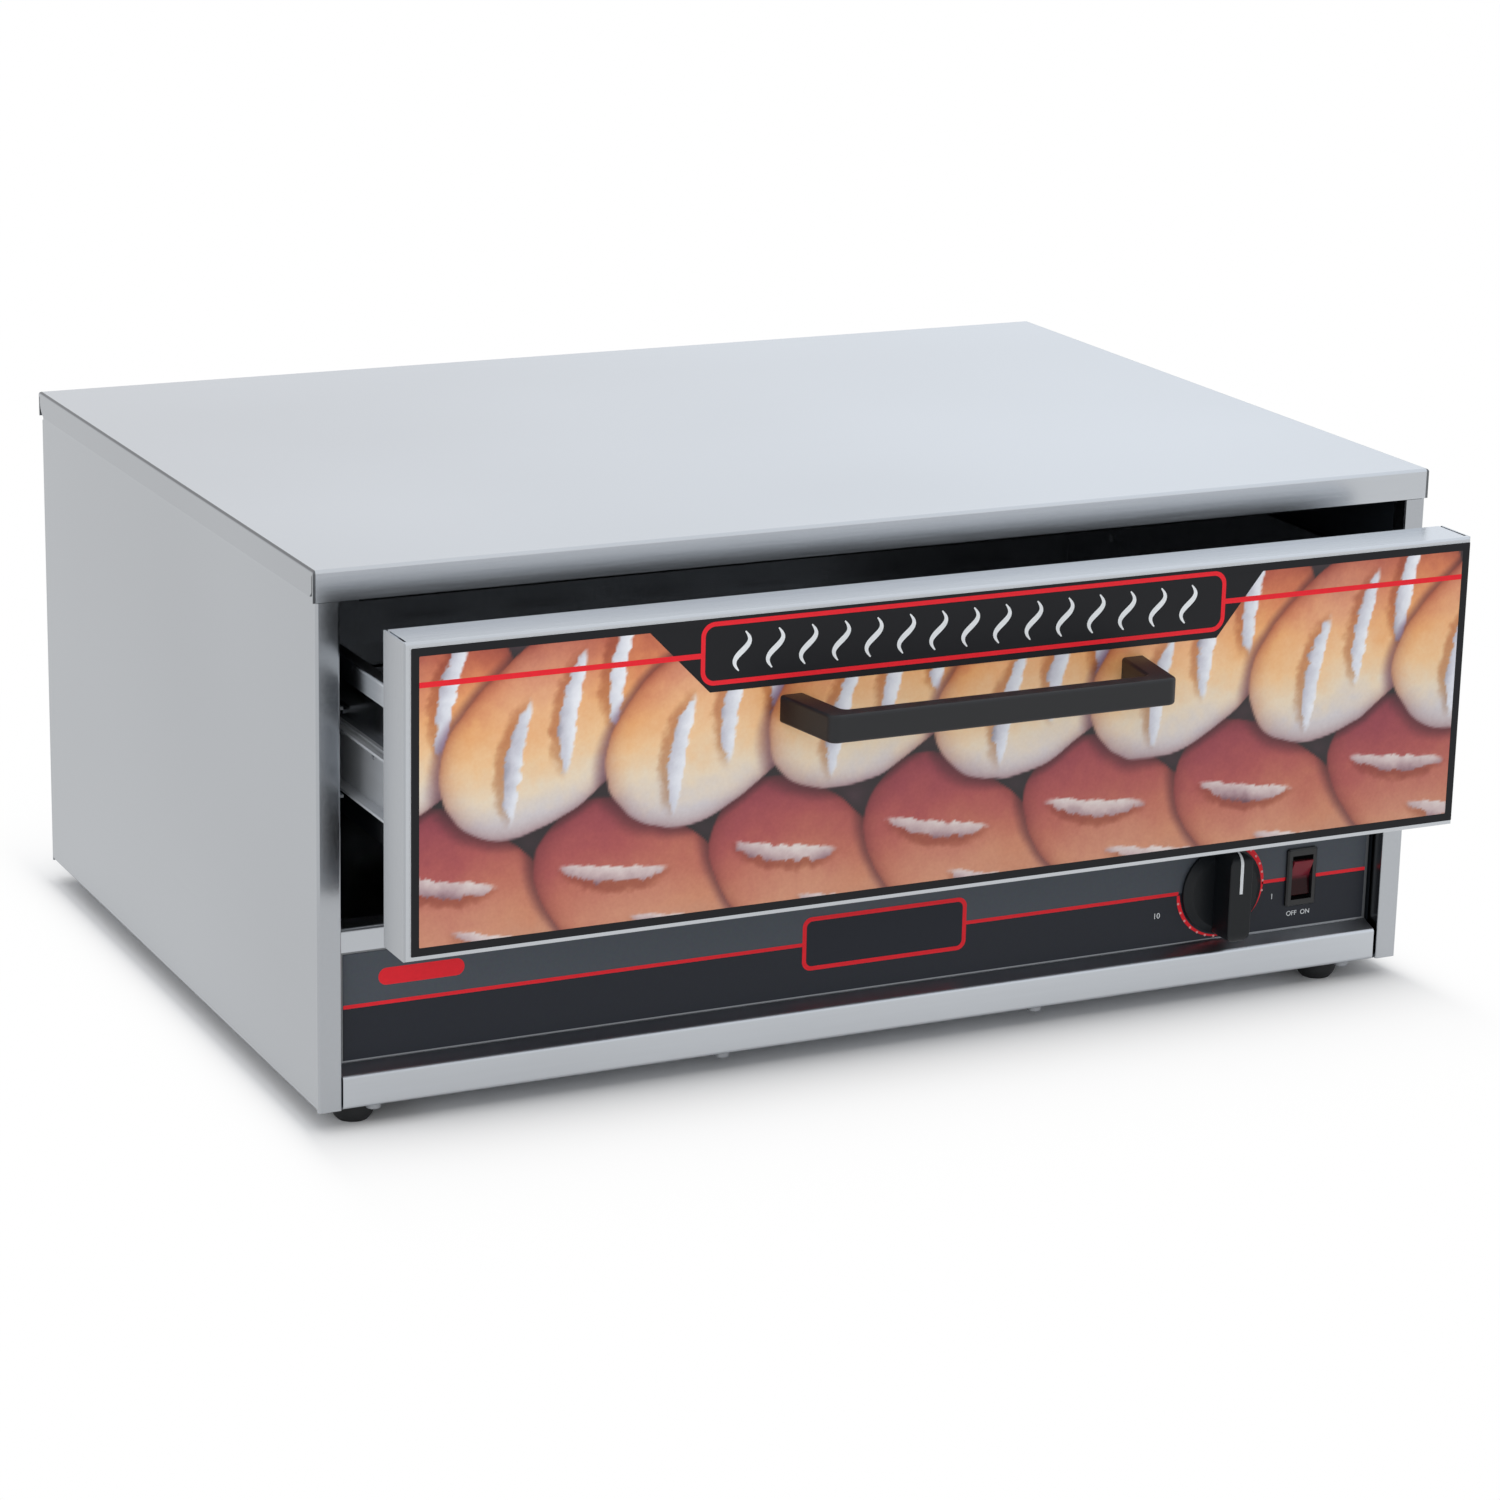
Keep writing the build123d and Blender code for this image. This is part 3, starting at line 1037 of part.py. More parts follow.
def heating_element():
    """Sheathed tube bent to and fro over the deck, with a tail down through it at each end."""
    tail_z = DECK_TOP_Z - ELEMENT_TAIL_BELOW
    points = [(ELEMENT_TAIL_X, ELEMENT_ROW_Y[0], tail_z), (ELEMENT_TAIL_X, ELEMENT_ROW_Y[0], ELEMENT_Z)]
    bends = [ELEMENT_TAIL_BEND]
    side = -1
    for first, second in zip(ELEMENT_ROW_Y, ELEMENT_ROW_Y[1:]):
        points += [(side * ELEMENT_HALF_RUN, first, ELEMENT_Z), (side * ELEMENT_HALF_RUN, second, ELEMENT_Z)]
        bends += [ELEMENT_BEND, ELEMENT_BEND]
        side = -side
    points += [(ELEMENT_TAIL_X, ELEMENT_ROW_Y[-1], ELEMENT_Z), (ELEMENT_TAIL_X, ELEMENT_ROW_Y[-1], tail_z)]
    bends.append(ELEMENT_TAIL_BEND)
    return tube(points, bends, ELEMENT_RADIUS)


def element_supports():
    """Three hat-section rails that hold the element off the deck."""
    middle = THIN_SHEET / 2
    low = DECK_TOP_Z + middle
    high = ELEMENT_Z - ELEMENT_RADIUS - SUPPORT_GAP - middle
    toe_x = SUPPORT_HALF_TOP + SUPPORT_TOE
    section = folded([
        (-toe_x, low), (-SUPPORT_HALF_TOP, low), (-SUPPORT_HALF_TOP, high),
        (SUPPORT_HALF_TOP, high), (SUPPORT_HALF_TOP, low), (toe_x, low),
    ], thickness=THIN_SHEET)
    rail = along_y(section, (ELEMENT_ROW_Y[0] - SUPPORT_OVERHANG, ELEMENT_ROW_Y[-1] + SUPPORT_OVERHANG))
    return group(Pos(x, 0, 0) * rail for x in SUPPORT_X)


def element_ceramics():
    """Ceramic collars that carry the element's tails through the deck."""
    collars = []
    for y in (ELEMENT_ROW_Y[0], ELEMENT_ROW_Y[-1]):
        top = (ELEMENT_TAIL_X, y, DECK_TOP_Z + CERAMIC_HEAD)
        low = (ELEMENT_TAIL_X, y, DECK_TOP_Z - CERAMIC_LENGTH)
        collar = rod(CERAMIC_RADIUS, (ELEMENT_TAIL_X, y, DECK_TOP_Z), top)
        collar += rod(CERAMIC_NECK_RADIUS, low, top)
        collars.append(collar - rod(ELEMENT_RADIUS + HOLE_SLACK, low, top))
    return group(collars)


def element_terminals():
    """Threaded ends of the element's tails, each with its nut."""
    pins = []
    for y in (ELEMENT_ROW_Y[0], ELEMENT_ROW_Y[-1]):
        top_z = DECK_TOP_Z - ELEMENT_TAIL_BELOW
        pin = rod(TERMINAL_RADIUS, (ELEMENT_TAIL_X, y, top_z), (ELEMENT_TAIL_X, y, top_z - TERMINAL_LENGTH))
        hexagon = extrude(RegularPolygon(TERMINAL_NUT_RADIUS, 6), TERMINAL_NUT_HEIGHT)
        nut = Pos(ELEMENT_TAIL_X, y, top_z - TERMINAL_LENGTH / 2) * hexagon
        pins.append(pin + nut)
    return group(pins)


def capillary_hole():
    """Where the capillary passes through the deck."""
    return (KNOB_X, PANEL_BACK_Y + THERMOSTAT_DEPTH + CAPILLARY_HOLE_SETBACK)


def bulb_line():
    """The bulb's axis: its height and its distance from the front."""
    return (PANEL_BACK_Y + BULB_SETBACK, DECK_TOP_Z + BULB_ABOVE_DECK + BULB_RADIUS)


def thermostat_bulb():
    """Sensing bulb over the deck, with the capillary that joins it to the thermostat."""
    y, z = bulb_line()
    end_x = KNOB_X - BULB_FROM_KNOB
    bulb = rod(BULB_RADIUS, (end_x - BULB_LENGTH, y, z), (end_x, y, z))
    hole_x, hole_y = capillary_hole()
    case_back = PANEL_BACK_Y + THERMOSTAT_DEPTH
    run_x = hole_x - CAPILLARY_RUN
    points = [
        (hole_x, case_back, KNOB_Z), (hole_x, hole_y, KNOB_Z), (hole_x, hole_y, z), (run_x, hole_y, z),
        (run_x, y, z), (end_x - CUT_BEYOND, y, z),
    ]
    return bulb + tube(points, CAPILLARY_BENDS, CAPILLARY_RADIUS)


def bulb_clips():
    """Two spring clips that hold the bulb over the deck."""
    y, z = bulb_line()
    standing = (Align.CENTER, Align.MIN)
    ring = Pos(y, z) * (Circle(BULB_RADIUS + CLIP_WALL) - Circle(BULB_RADIUS + HOLE_SLACK))
    foot = Pos(y, DECK_TOP_Z) * Rectangle(CLIP_FOOT, CLIP_WALL, align=standing)
    stem = Pos(y, DECK_TOP_Z) * Rectangle(CLIP_STEM, BULB_ABOVE_DECK - CLIP_WALL / 2, align=standing)
    clips = []
    for along in CLIPS_ALONG_BULB:
        x = KNOB_X - BULB_FROM_KNOB - along
        clips.append(along_x(ring + foot + stem, (x - CLIP_WIDTH / 2, x + CLIP_WIDTH / 2)))
    return group(clips)


def terminal_block():
    """Block on the base pan where the supply meets the wiring."""
    half = BLOCK_WIDTH / 2
    y = BACK_Y - BLOCK_SETBACK
    top_z = PAN_TOP_Z + BLOCK_HEIGHT
    body = block((BLOCK_X - half, BLOCK_X + half), (y, y + BLOCK_DEPTH), (PAN_TOP_Z, top_z))
    body = chamfer(body.edges().filter_by(Axis.X).group_by(Axis.Z)[-1], BLOCK_EDGE)
    for number in range(BLOCK_WELLS):
        x = BLOCK_X + (number - (BLOCK_WELLS - 1) / 2) * BLOCK_WIDTH / BLOCK_WELLS
        well = Cylinder(BLOCK_WELL_RADIUS, 2 * BLOCK_WELL_DEPTH)
        body -= Pos(x, y + BLOCK_DEPTH / 2, top_z) * well
    return body


def cord_bushing():
    """Snap bushing in the back panel that the supply cord would pass through."""
    out_y = BACK_Y + CORD_FLANGE_THICKNESS
    wall = CORD_BORE_RADIUS + BUSHING_WALL
    front = (CORD_X, BACK_Y - SHEET, CORD_Z)
    flange = rod(CORD_FLANGE_RADIUS, front, (CORD_X, out_y, CORD_Z))
    flange = fillet(flange.edges().group_by(Axis.Y)[-1], CORD_FLANGE_EDGE)
    inner_y = BACK_Y - CORD_BODY_LENGTH
    bushing = flange + rod(wall, (CORD_X, inner_y, CORD_Z), front)
    bore_ends = [(CORD_X, y, CORD_Z) for y in (inner_y - CUT_BEYOND, out_y + CUT_BEYOND)]
    return bushing - rod(CORD_BORE_RADIUS, *bore_ends)


def wiring():
    """Leads from the terminal block to the switch, on to the thermostat and to the element."""
    block_y = BACK_Y - BLOCK_SETBACK
    switch_y = PANEL_BACK_Y + SWITCH_BODY_DEPTH
    thermostat_y = PANEL_BACK_Y + THERMOSTAT_DEPTH
    terminal_z = DECK_TOP_Z - ELEMENT_TAIL_BELOW - TERMINAL_LENGTH
    low = PAN_TOP_Z + BLOCK_HEIGHT / 2
    first_y, last_y = ELEMENT_ROW_Y[0], ELEMENT_ROW_Y[-1]
    front_turn = thermostat_y + WIRE_TURN
    switch_low = (SWITCH_X, switch_y, SWITCH_MIDDLE_Z - SWITCH_TERMINAL)
    switch_high = (SWITCH_X, switch_y, SWITCH_MIDDLE_Z + SWITCH_TERMINAL)
    block_x = BLOCK_X + BLOCK_WIDTH / BLOCK_WELLS
    right_x, left_x = KNOB_X + WIRE_TURN / 2, KNOB_X - WIRE_TURN / 2
    block_to_switch = [
        (block_x, block_y, low), (block_x, front_turn, low),
        (SWITCH_X, front_turn, switch_low[2]), switch_low,
    ]
    switch_to_thermostat = [
        switch_high, (SWITCH_X, front_turn, switch_high[2]),
        (right_x, front_turn, KNOB_Z), (right_x, thermostat_y, KNOB_Z),
    ]
    thermostat_to_element = [
        (left_x, thermostat_y, low), (left_x, first_y, low),
        (ELEMENT_TAIL_X, first_y, low), (ELEMENT_TAIL_X, first_y, terminal_z),
    ]
    block_to_element = [
        (BLOCK_X, block_y, low), (BLOCK_X, last_y, low),
        (ELEMENT_TAIL_X, last_y, low), (ELEMENT_TAIL_X, last_y, terminal_z),
    ]
    routes = [block_to_switch, switch_to_thermostat, thermostat_to_element, block_to_element]
    return group(tube(route, WIRE_BEND, WIRE_RADIUS) for route in routes)


def build():
    """Every node by its name."""
    nodes = {
        "top_cover": top_cover(),
        "back_panel": back_panel(),
        "base_pan": base_pan(),
        "control_panel": control_panel(),
        "control_overlay": control_overlay(),
        "feet": feet(),
        "rear_liner": rear_liner(),
        "heater_deck": heater_deck(),
        "ceiling_pan": ceiling_pan(),
        "top_insulation": top_insulation(),
        "drawer_front_pan": drawer_front_pan(),
        "drawer_front_backing": drawer_front_backing(),
        "picture_panel": picture_panel(),
        "drawer_handle": drawer_handle(),
        "drawer_tub": drawer_tub(),
        "tub_front_wall": tub_front_wall(),
        "tub_rear_wall": tub_end_wall(TUB_REAR_Y - THIN_SHEET),
        "control_knob": control_knob(),
        "thermostat_shaft": thermostat_shaft(),
        "thermostat_body": thermostat_body(),
        "rocker_switch_body": rocker_switch_body(),
        "rocker": rocker(),
        "heating_element": heating_element(),
        "element_supports": element_supports(),
        "element_ceramics": element_ceramics(),
        "element_terminals": element_terminals(),
        "thermostat_bulb": thermostat_bulb(),
        "bulb_clips": bulb_clips(),
        "terminal_block": terminal_block(),
        "cord_bushing": cord_bushing(),
        "wiring": wiring(),
    }
    left_pieces = {
        "liner": left_liner(),
        "slide_outer": left_slide_outer(),
        "slide_middle": left_slide_middle(),
        "slide_inner": left_slide_inner(),
        "outer_cage": left_outer_cage(),
        "inner_cage": left_inner_cage(),
    }
    for name, shape in left_pieces.items():
        nodes["left_" + name] = shape
        nodes["right_" + name] = mirrored(shape)
    nodes["left_side_panel"] = side_panel(side_sheet(), -1)
    nodes["right_side_panel"] = side_panel(mirrored(side_sheet()), 1)
    nodes["cabinet_slide_screws"] = slide_screws(cabinet_slide_screw_places(), (1, 0, 0), FLAT_HEAD_HEIGHT)
    nodes["drawer_slide_screws"] = slide_screws(drawer_slide_screw_places(), (-1, 0, 0), SMALL_HEAD_HEIGHT)
    foot_reach = FOOT_HEIGHT - FOOT_RECESS_DEPTH + FOOT_SCREW_GRIP
    handle_places = [(x, DRAWER_FACE_Y + SHEET, HANDLE_Z) for x in (-HANDLE_LEG_X, HANDLE_LEG_X)]
    small_screws = {
        "back_screws": (BACK_SCREWS + COVER_SCREWS, BACKWARD, PANEL_SCREW_REACH),
        "foot_screws": (FOOT_SCREWS, DOWNWARD, foot_reach),
        "handle_screws": (handle_places, BACKWARD, HANDLE_SCREW_REACH),
        "tub_screws": (tub_screw_places(), BACKWARD, PANEL_SCREW_REACH),
        "thermostat_screws": (thermostat_screw_places(), FORWARD, PANEL_SCREW_REACH),
    }
    for name, (places, direction, reach) in small_screws.items():
        nodes[name] = group(screw(place, direction, reach) for place in places)
    nodes["base_screws"] = group(
        screw(place, DOWNWARD, PANEL_SCREW_REACH, BASE_SCREW_HEAD_RADIUS, BASE_SCREW_HEAD_HEIGHT)
        for place in BASE_SCREWS
    )
    return nodes


os.makedirs("parts", exist_ok=True)
for node, shape in build().items():
    export_step(shape, f"parts/{node}.step")
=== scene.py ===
"""Looks of a free-standing bun warmer: brushed sheet, printed panels, moulded plastics, lights and camera."""

import math

import bmesh
import bpy
import numpy as np
from bpy.props import FloatProperty, FloatVectorProperty, PointerProperty
from mathutils import Matrix, Vector


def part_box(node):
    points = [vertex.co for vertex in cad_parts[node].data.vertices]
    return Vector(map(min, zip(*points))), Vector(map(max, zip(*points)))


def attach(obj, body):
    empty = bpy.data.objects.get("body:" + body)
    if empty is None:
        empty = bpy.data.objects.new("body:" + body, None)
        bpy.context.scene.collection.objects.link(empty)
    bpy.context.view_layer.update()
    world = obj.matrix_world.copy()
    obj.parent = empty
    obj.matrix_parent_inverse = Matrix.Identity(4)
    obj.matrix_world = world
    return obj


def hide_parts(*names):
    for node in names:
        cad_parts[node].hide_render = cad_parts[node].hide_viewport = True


bl_info = {
    "name": "Bun warmer",
    "version": (1, 0, 0),
    "blender": (4, 5, 0),
    "location": "3D View > Sidebar > Bun warmer",
    "description": "Finishes a bun warmer with brushed sheet, printed panels and moulded plastics",
    "category": "Object",
}

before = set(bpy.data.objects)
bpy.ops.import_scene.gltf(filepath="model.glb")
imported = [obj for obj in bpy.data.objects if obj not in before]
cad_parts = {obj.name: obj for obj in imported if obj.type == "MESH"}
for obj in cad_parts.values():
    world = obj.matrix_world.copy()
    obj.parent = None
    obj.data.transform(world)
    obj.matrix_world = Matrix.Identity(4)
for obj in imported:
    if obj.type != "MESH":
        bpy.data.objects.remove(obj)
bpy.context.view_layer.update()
MM = 0.001
PRINT = 0.05 * MM


def linear(code):
    """A colour written as six sRGB hex digits, turned to linear red, green, blue and full alpha."""
    parts = [int(code[i:i + 2], 16) / 255 for i in (0, 2, 4)]
    return tuple(p / 12.92 if p <= 0.04045 else ((p + 0.055) / 1.055) ** 2.4 for p in parts) + (1.0,)


def colour(name, code, description):
    """A colour property with a hex default."""
    return FloatVectorProperty(name=name, description=description, subtype="COLOR", size=4, min=0, max=1,
                               default=linear(code))


def length(name, millimetres, description):
    """A length property whose default is given in millimetres."""
    return FloatProperty(name=name, description=description, unit="LENGTH", min=0, default=millimetres * MM)


def angle(name, degrees, description):
    """An angle property whose default is given in degrees."""
    return FloatProperty(name=name, description=description, subtype="ANGLE", default=math.radians(degrees))


def power(name, watts, description):
    """A lamp's power."""
    return FloatProperty(name=name, description=description, unit="POWER", min=0, default=watts)


def share(name, value, description):
    """A property that goes from nearly nothing to one."""
    return FloatProperty(name=name, description=description, min=0.01, max=1, default=value)


class SheetFinish(bpy.types.PropertyGroup):
    """Brushed and painted sheet."""

    steel: colour("Steel", "CDD1D6", "Colour of the brushed stainless sheet")
    grain: length("Grain", 0.9, "Distance between the brushed lines as drawn")
    cloud: length("Cloud", 125.0, "Distance between the soft clouds of tone")
    roughness: share("Roughness", 0.24, "How far the brushing blurs reflections")
    # Painted shade on the side panels and on the drawer front's ends.
    side_shade: share("Side shade", 0.81, "Painted shade on sheet brushed from front to back and on the drawer front's ends")
    # Painted shade on the cover's side flaps.
    flap_shade: share("Flap shade", 0.76, "Painted shade on the cover's side flaps")
    # Painted shade on the bends and cut edges at the cover's flaps.
    edge: share("Edge shade", 0.36, "Painted shade on the bends and cut edges at those flaps")
    # Painted shade on the walls and bottom of the drawer's tub.
    tub_shade: share("Tub shade", 0.5, "Painted shade on the tub's walls")
    # Painted shade in the recess round the film and on the backs of the posts.
    recess_shade: share("Recess shade", 0.35, "Painted shade on the control panel's face and on the backs of the posts")
    liner: colour("Liner", "23282E", "Colour of the painted liner")


class PrintFinish(bpy.types.PropertyGroup):
    """Printed film on the control panel and the printed panel on the drawer."""

    slate: colour("Upper ground", "4A5058", "Film above the line")
    ink: colour("Lower ground", "1E222B", "Film below the line")
    red: colour("Red", "EC2230", "Lines, pill and rings")
    bead: colour("Bead", "E8A0A0", "Light spots on the dial's ring")
    white: colour("White", "E9EDF0", "Numerals and heat strokes")
    black: colour("Black", "15161A", "Plate and border of the drawer's panel")
    stripe: length("Stripe", 1.9, "Height of the line across the film")
    stripe_height: length("Stripe height", 26.9, "Height of that line over the film's lower edge")
    pinstripe: length("Pinstripe", 2.6, "Height of the lines across the picture")
    outline: length("Outline", 2.2, "Width of the red outlines")
    border: length("Border", 4.0, "Width of the black border round the picture")
    core: colour("Core", "D8DADC", "Cut edge of the picture panel")
    picture_step: length("Picture step", 1.0, "Spacing of the painted points")
    loaf_pitch: length("Loaf pitch", 86.0, "Distance from one loaf in the picture to the next")


class PlasticFinish(bpy.types.PropertyGroup):
    """Moulded plastics and rubber."""

    handle: colour("Handle", "0E1014", "Black of the handle")
    knob: colour("Knob", "101418", "Black of the knob")
    # Painted light on the rocker's upper half and painted shade on its lower half.
    rocker: colour("Rocker", "7E2630", "Red of the rocker's upper half, with painted light")
    rocker_shaded: colour("Rocker below", "2A070B", "Red of the rocker's lower half, with painted shade")
    rubber: colour("Rubber", "131416", "Black of the feet")
    pointer: length("Pointer", 1.8, "Width of the knob's white line along its face")


class StageFinish(bpy.types.PropertyGroup):
    """Camera, lamps and floor."""

    eye: FloatVectorProperty(name="Eye", description="Camera position", subtype="TRANSLATION", size=3,
                             default=(-0.9809, -1.9959, 0.7698))
    azimuth: angle("Azimuth", -26.106, "Camera turn about the vertical")
    elevation: angle("Elevation", 16.416, "Camera height above the horizon")
    roll: angle("Roll", 1.312, "Camera turn about its own axis")
    lens: FloatProperty(name="Lens", description="Focal length in millimetres", default=105.57)
    key: power("Key lamp", 32, "Power of the large lamp overhead")
    side: power("Side lamp", 10, "Power of the lamp on the left")
    front: power("Front lamp", 20, "Power of the lamp in front")
    ambient: share("Ambient", 0.5, "Light from all round")
    paper: colour("Paper", "F0F1F3", "Floor near the object")
    paper_spread: length("Paper spread", 34.0, "Distance over which most of the floor turns to white")
    paper_under: length("Paper under", 12.0, "How far under the front and back edges that starts")
    paper_aside: FloatProperty(name="Paper aside", description="How many times sooner it does at the sides",
                               min=0, default=5.0)
    mirrored: share("Mirrored floor", 0.86, "How bright metal sees the white floor")


def sizes(group):
    """The named property group of the scene."""
    return getattr(bpy.context.scene, "bun_warmer_" + group)


# Nodes and materials


def feed(tree, node, inputs):
    """Feeds a node's inputs. Each takes a number or colour, an output, or a node for its first output."""
    for key, value in inputs.items():
        if isinstance(value, bpy.types.Node):
            value = value.outputs[0]
        if isinstance(value, bpy.types.NodeSocket):
            tree.links.new(value, node.inputs[key])
        else:
            node.inputs[key].default_value = value


def add_node(tree, kind, inputs=None, **settings):
    """Adds a node with its own settings and feeds its inputs."""
    node = tree.nodes.new(kind)
    for key, value in settings.items():
        setattr(node, key, value)
    feed(tree, node, inputs or {})
    return node


def new_material(name, **sockets):
    """A material with its output and shader. Sockets are the shader's own constants, with _ for a space."""
    material = bpy.data.materials.new(name)
    material.use_nodes = True
    tree = material.node_tree
    tree.nodes.clear()
    shader = add_node(tree, "ShaderNodeBsdfPrincipled",
                      {key.replace("_", " "): value for key, value in sockets.items()})
    add_node(tree, "ShaderNodeOutputMaterial", {"Surface": shader})
    return material, tree, shader


def tinted(value, factor):
    """A colour made darker or lighter by one factor."""
    return tuple(min(1.0, part * factor) for part in value[:3]) + (1.0,)


def mottled(name, dark, light, blotch, stretch=(1, 1, 1), detail=2.0, roughness=(0.4, 0.5), relief=0.0,
            **sockets):
    """A material whose shade, roughness and relief all follow one noise in object space, with blotches about
    this many metres across, drawn out where the stretch is under 1."""
    material, tree, shader = new_material(name, **sockets)
    place = add_node(tree, "ShaderNodeTexCoord")
    scaled = add_node(tree, "ShaderNodeMapping", {"Vector": place.outputs["Object"], "Scale": stretch})
    noise = add_node(tree, "ShaderNodeTexNoise", {"Vector": scaled, "Scale": 0.5 / blotch, "Detail": detail})
    tone = add_node(tree, "ShaderNodeMix", {"Factor": noise, "A": dark, "B": light}, data_type="RGBA")
    rough = add_node(tree, "ShaderNodeMapRange",
                     {"Value": noise, "To Min": roughness[0], "To Max": roughness[1]})
    feed(tree, shader, {"Base Color": tone.outputs["Result"], "Roughness": rough})
    if relief:
        bump = add_node(tree, "ShaderNodeBump",
                        {"Height": noise, "Strength": relief, "Distance": 0.2 * blotch})
        feed(tree, shader, {"Normal": bump})
    return material


def brushed_stainless(name, stretch, shade, inner_half=(-1, -1, -1), inner_shade_tone=1.0, inner_z=0.0, blur=0.0,
                      edge_shade_tone=1.0):
    """AISI 304 sheet with a brushed finish: a pale cool metal whose lines smear its reflections a little.

    The real lines are about 0.1 mm apart, too fine to show, so they are drawn coarser. The shade scales the
    whole tone; where it is under one it is painted shade, on the sides, flaps and drawer front's ends. Inside
    a box about the middle of the object, given by half its size and its height, the sheet takes another tone:
    painted shade in the tub and in a recess, or the lighter tone of a face beside its folded ends, which
    takes that painted shade back. Outside that box the edge tone is painted shade on the bends and cut edges,
    which are the faces that don't look to the left or right."""
    finish = sizes("sheet")
    rough_low, rough_high = finish.roughness + blur - 0.03, finish.roughness + blur + 0.03
    material, tree, shader = new_material(name, Metallic=1.0)
    place = add_node(tree, "ShaderNodeTexCoord")
    at, normal = place.outputs["Object"], place.outputs["Normal"]
    # Brushed lines over soft clouds give the even tone.
    drawn_out = add_node(tree, "ShaderNodeMapping", {"Vector": at, "Scale": stretch})
    lines = add_node(tree, "ShaderNodeTexNoise",
                     {"Vector": drawn_out, "Scale": 0.5 / finish.grain, "Detail": 3.0})
    cloud = add_node(tree, "ShaderNodeTexNoise", {"Vector": at, "Scale": 0.5 / finish.cloud, "Detail": 1.0})
    tone = add_node(tree, "ShaderNodeMix", {"Factor": lines, "A": tinted(finish.steel, 0.95 * shade),
                                            "B": tinted(finish.steel, 1.01 * shade)}, data_type="RGBA")
    soft = add_node(tree, "ShaderNodeMapRange",
                    {"Value": cloud, "From Min": 0.3, "From Max": 0.7, "To Min": 0.95, "To Max": 1.03})
    # Inside the box when no coordinate is further from its middle than half its size.
    offset = add_node(tree, "ShaderNodeVectorMath", {0: at, 1: (0, 0, inner_z)}, operation="SUBTRACT")
    aside = add_node(tree, "ShaderNodeVectorMath", {0: offset}, operation="ABSOLUTE")
    past = add_node(tree, "ShaderNodeVectorMath", {0: aside, 1: inner_half}, operation="SUBTRACT")
    axes = add_node(tree, "ShaderNodeSeparateXYZ", {0: past})
    plan = add_node(tree, "ShaderNodeMath", {0: axes.outputs["X"], 1: axes.outputs["Y"]}, operation="MAXIMUM")
    furthest = add_node(tree, "ShaderNodeMath", {0: plan, 1: axes.outputs["Z"]}, operation="MAXIMUM")
    inside = add_node(tree, "ShaderNodeMath", {0: furthest, 1: 0.0}, operation="LESS_THAN")
    # Painted shade inside the box, or the lift that takes the painted shade back.
    inner_shade = add_node(tree, "ShaderNodeMapRange", {"Value": inside, "To Min": 1.0, "To Max": inner_shade_tone})
    # The square of the normal's X part is near one on a face that looks to the left or right.
    squared = add_node(tree, "ShaderNodeVectorMath", {0: normal, 1: normal}, operation="MULTIPLY")
    parts = add_node(tree, "ShaderNodeSeparateXYZ", {0: squared})
    # Painted shade on the faces outside the box that don't look to the left or right: bends and cut edges.
    edge = add_node(tree, "ShaderNodeMapRange",
                    {"Value": parts.outputs["X"], "From Min": 0.6, "From Max": 0.95, "To Min": edge_shade_tone})
    kept = add_node(tree, "ShaderNodeMath", {0: inside, 1: edge}, operation="MAXIMUM")
    painted_shade = add_node(tree, "ShaderNodeMath", {0: inner_shade, 1: kept}, operation="MULTIPLY")
    toned = add_node(tree, "ShaderNodeMath", {0: soft, 1: painted_shade}, operation="MULTIPLY")
    metal = add_node(tree, "ShaderNodeVectorMath", {0: tone.outputs["Result"], "Scale": toned},
                     operation="SCALE")
    fine = add_node(tree, "ShaderNodeMapRange", {"Value": lines, "To Min": -0.04, "To Max": 0.04})
    broad = add_node(tree, "ShaderNodeMapRange", {"Value": cloud, "To Min": rough_low, "To Max": rough_high})
    rough = add_node(tree, "ShaderNodeMath", {0: fine, 1: broad}, operation="ADD")
    bump = add_node(tree, "ShaderNodeBump", {"Height": lines, "Strength": 0.05, "Distance": 0.2 * MM})
    feed(tree, shader, {"Base Color": metal, "Roughness": rough, "Normal": bump})
    return material


def printed_film(name, line_height):
    """Polycarbonate film printed from behind: slate over the line, near black below, with a velvet face.

    The real velvet grain is finer than 0.1 mm, too fine to show, so it is drawn about 0.9 mm wide."""
    finish = sizes("print")
    material, tree, shader = new_material(name, Roughness=0.4, Specular_IOR_Level=0.28)
    place = add_node(tree, "ShaderNodeTexCoord")
    axes = add_node(tree, "ShaderNodeSeparateXYZ", {0: place.outputs["Object"]})
    above = add_node(tree, "ShaderNodeMath", {0: axes.outputs["Z"], 1: line_height}, operation="GREATER_THAN")
    ground = add_node(tree, "ShaderNodeMix", {"Factor": above, "A": finish.ink, "B": finish.slate},
                      data_type="RGBA")
    velvet = add_node(tree, "ShaderNodeTexNoise",
                      {"Vector": place.outputs["Object"], "Scale": 550.0, "Detail": 2.0})
    grained = add_node(tree, "ShaderNodeMix",
                       {"Factor": 0.12, "A": ground.outputs["Result"], "B": velvet.outputs["Color"]},
                       data_type="RGBA", blend_type="OVERLAY")
    bump = add_node(tree, "ShaderNodeBump", {"Height": velvet, "Strength": 0.12, "Distance": 0.1 * MM})
    feed(tree, shader, {"Base Color": grained.outputs["Result"], "Normal": bump})
    return material


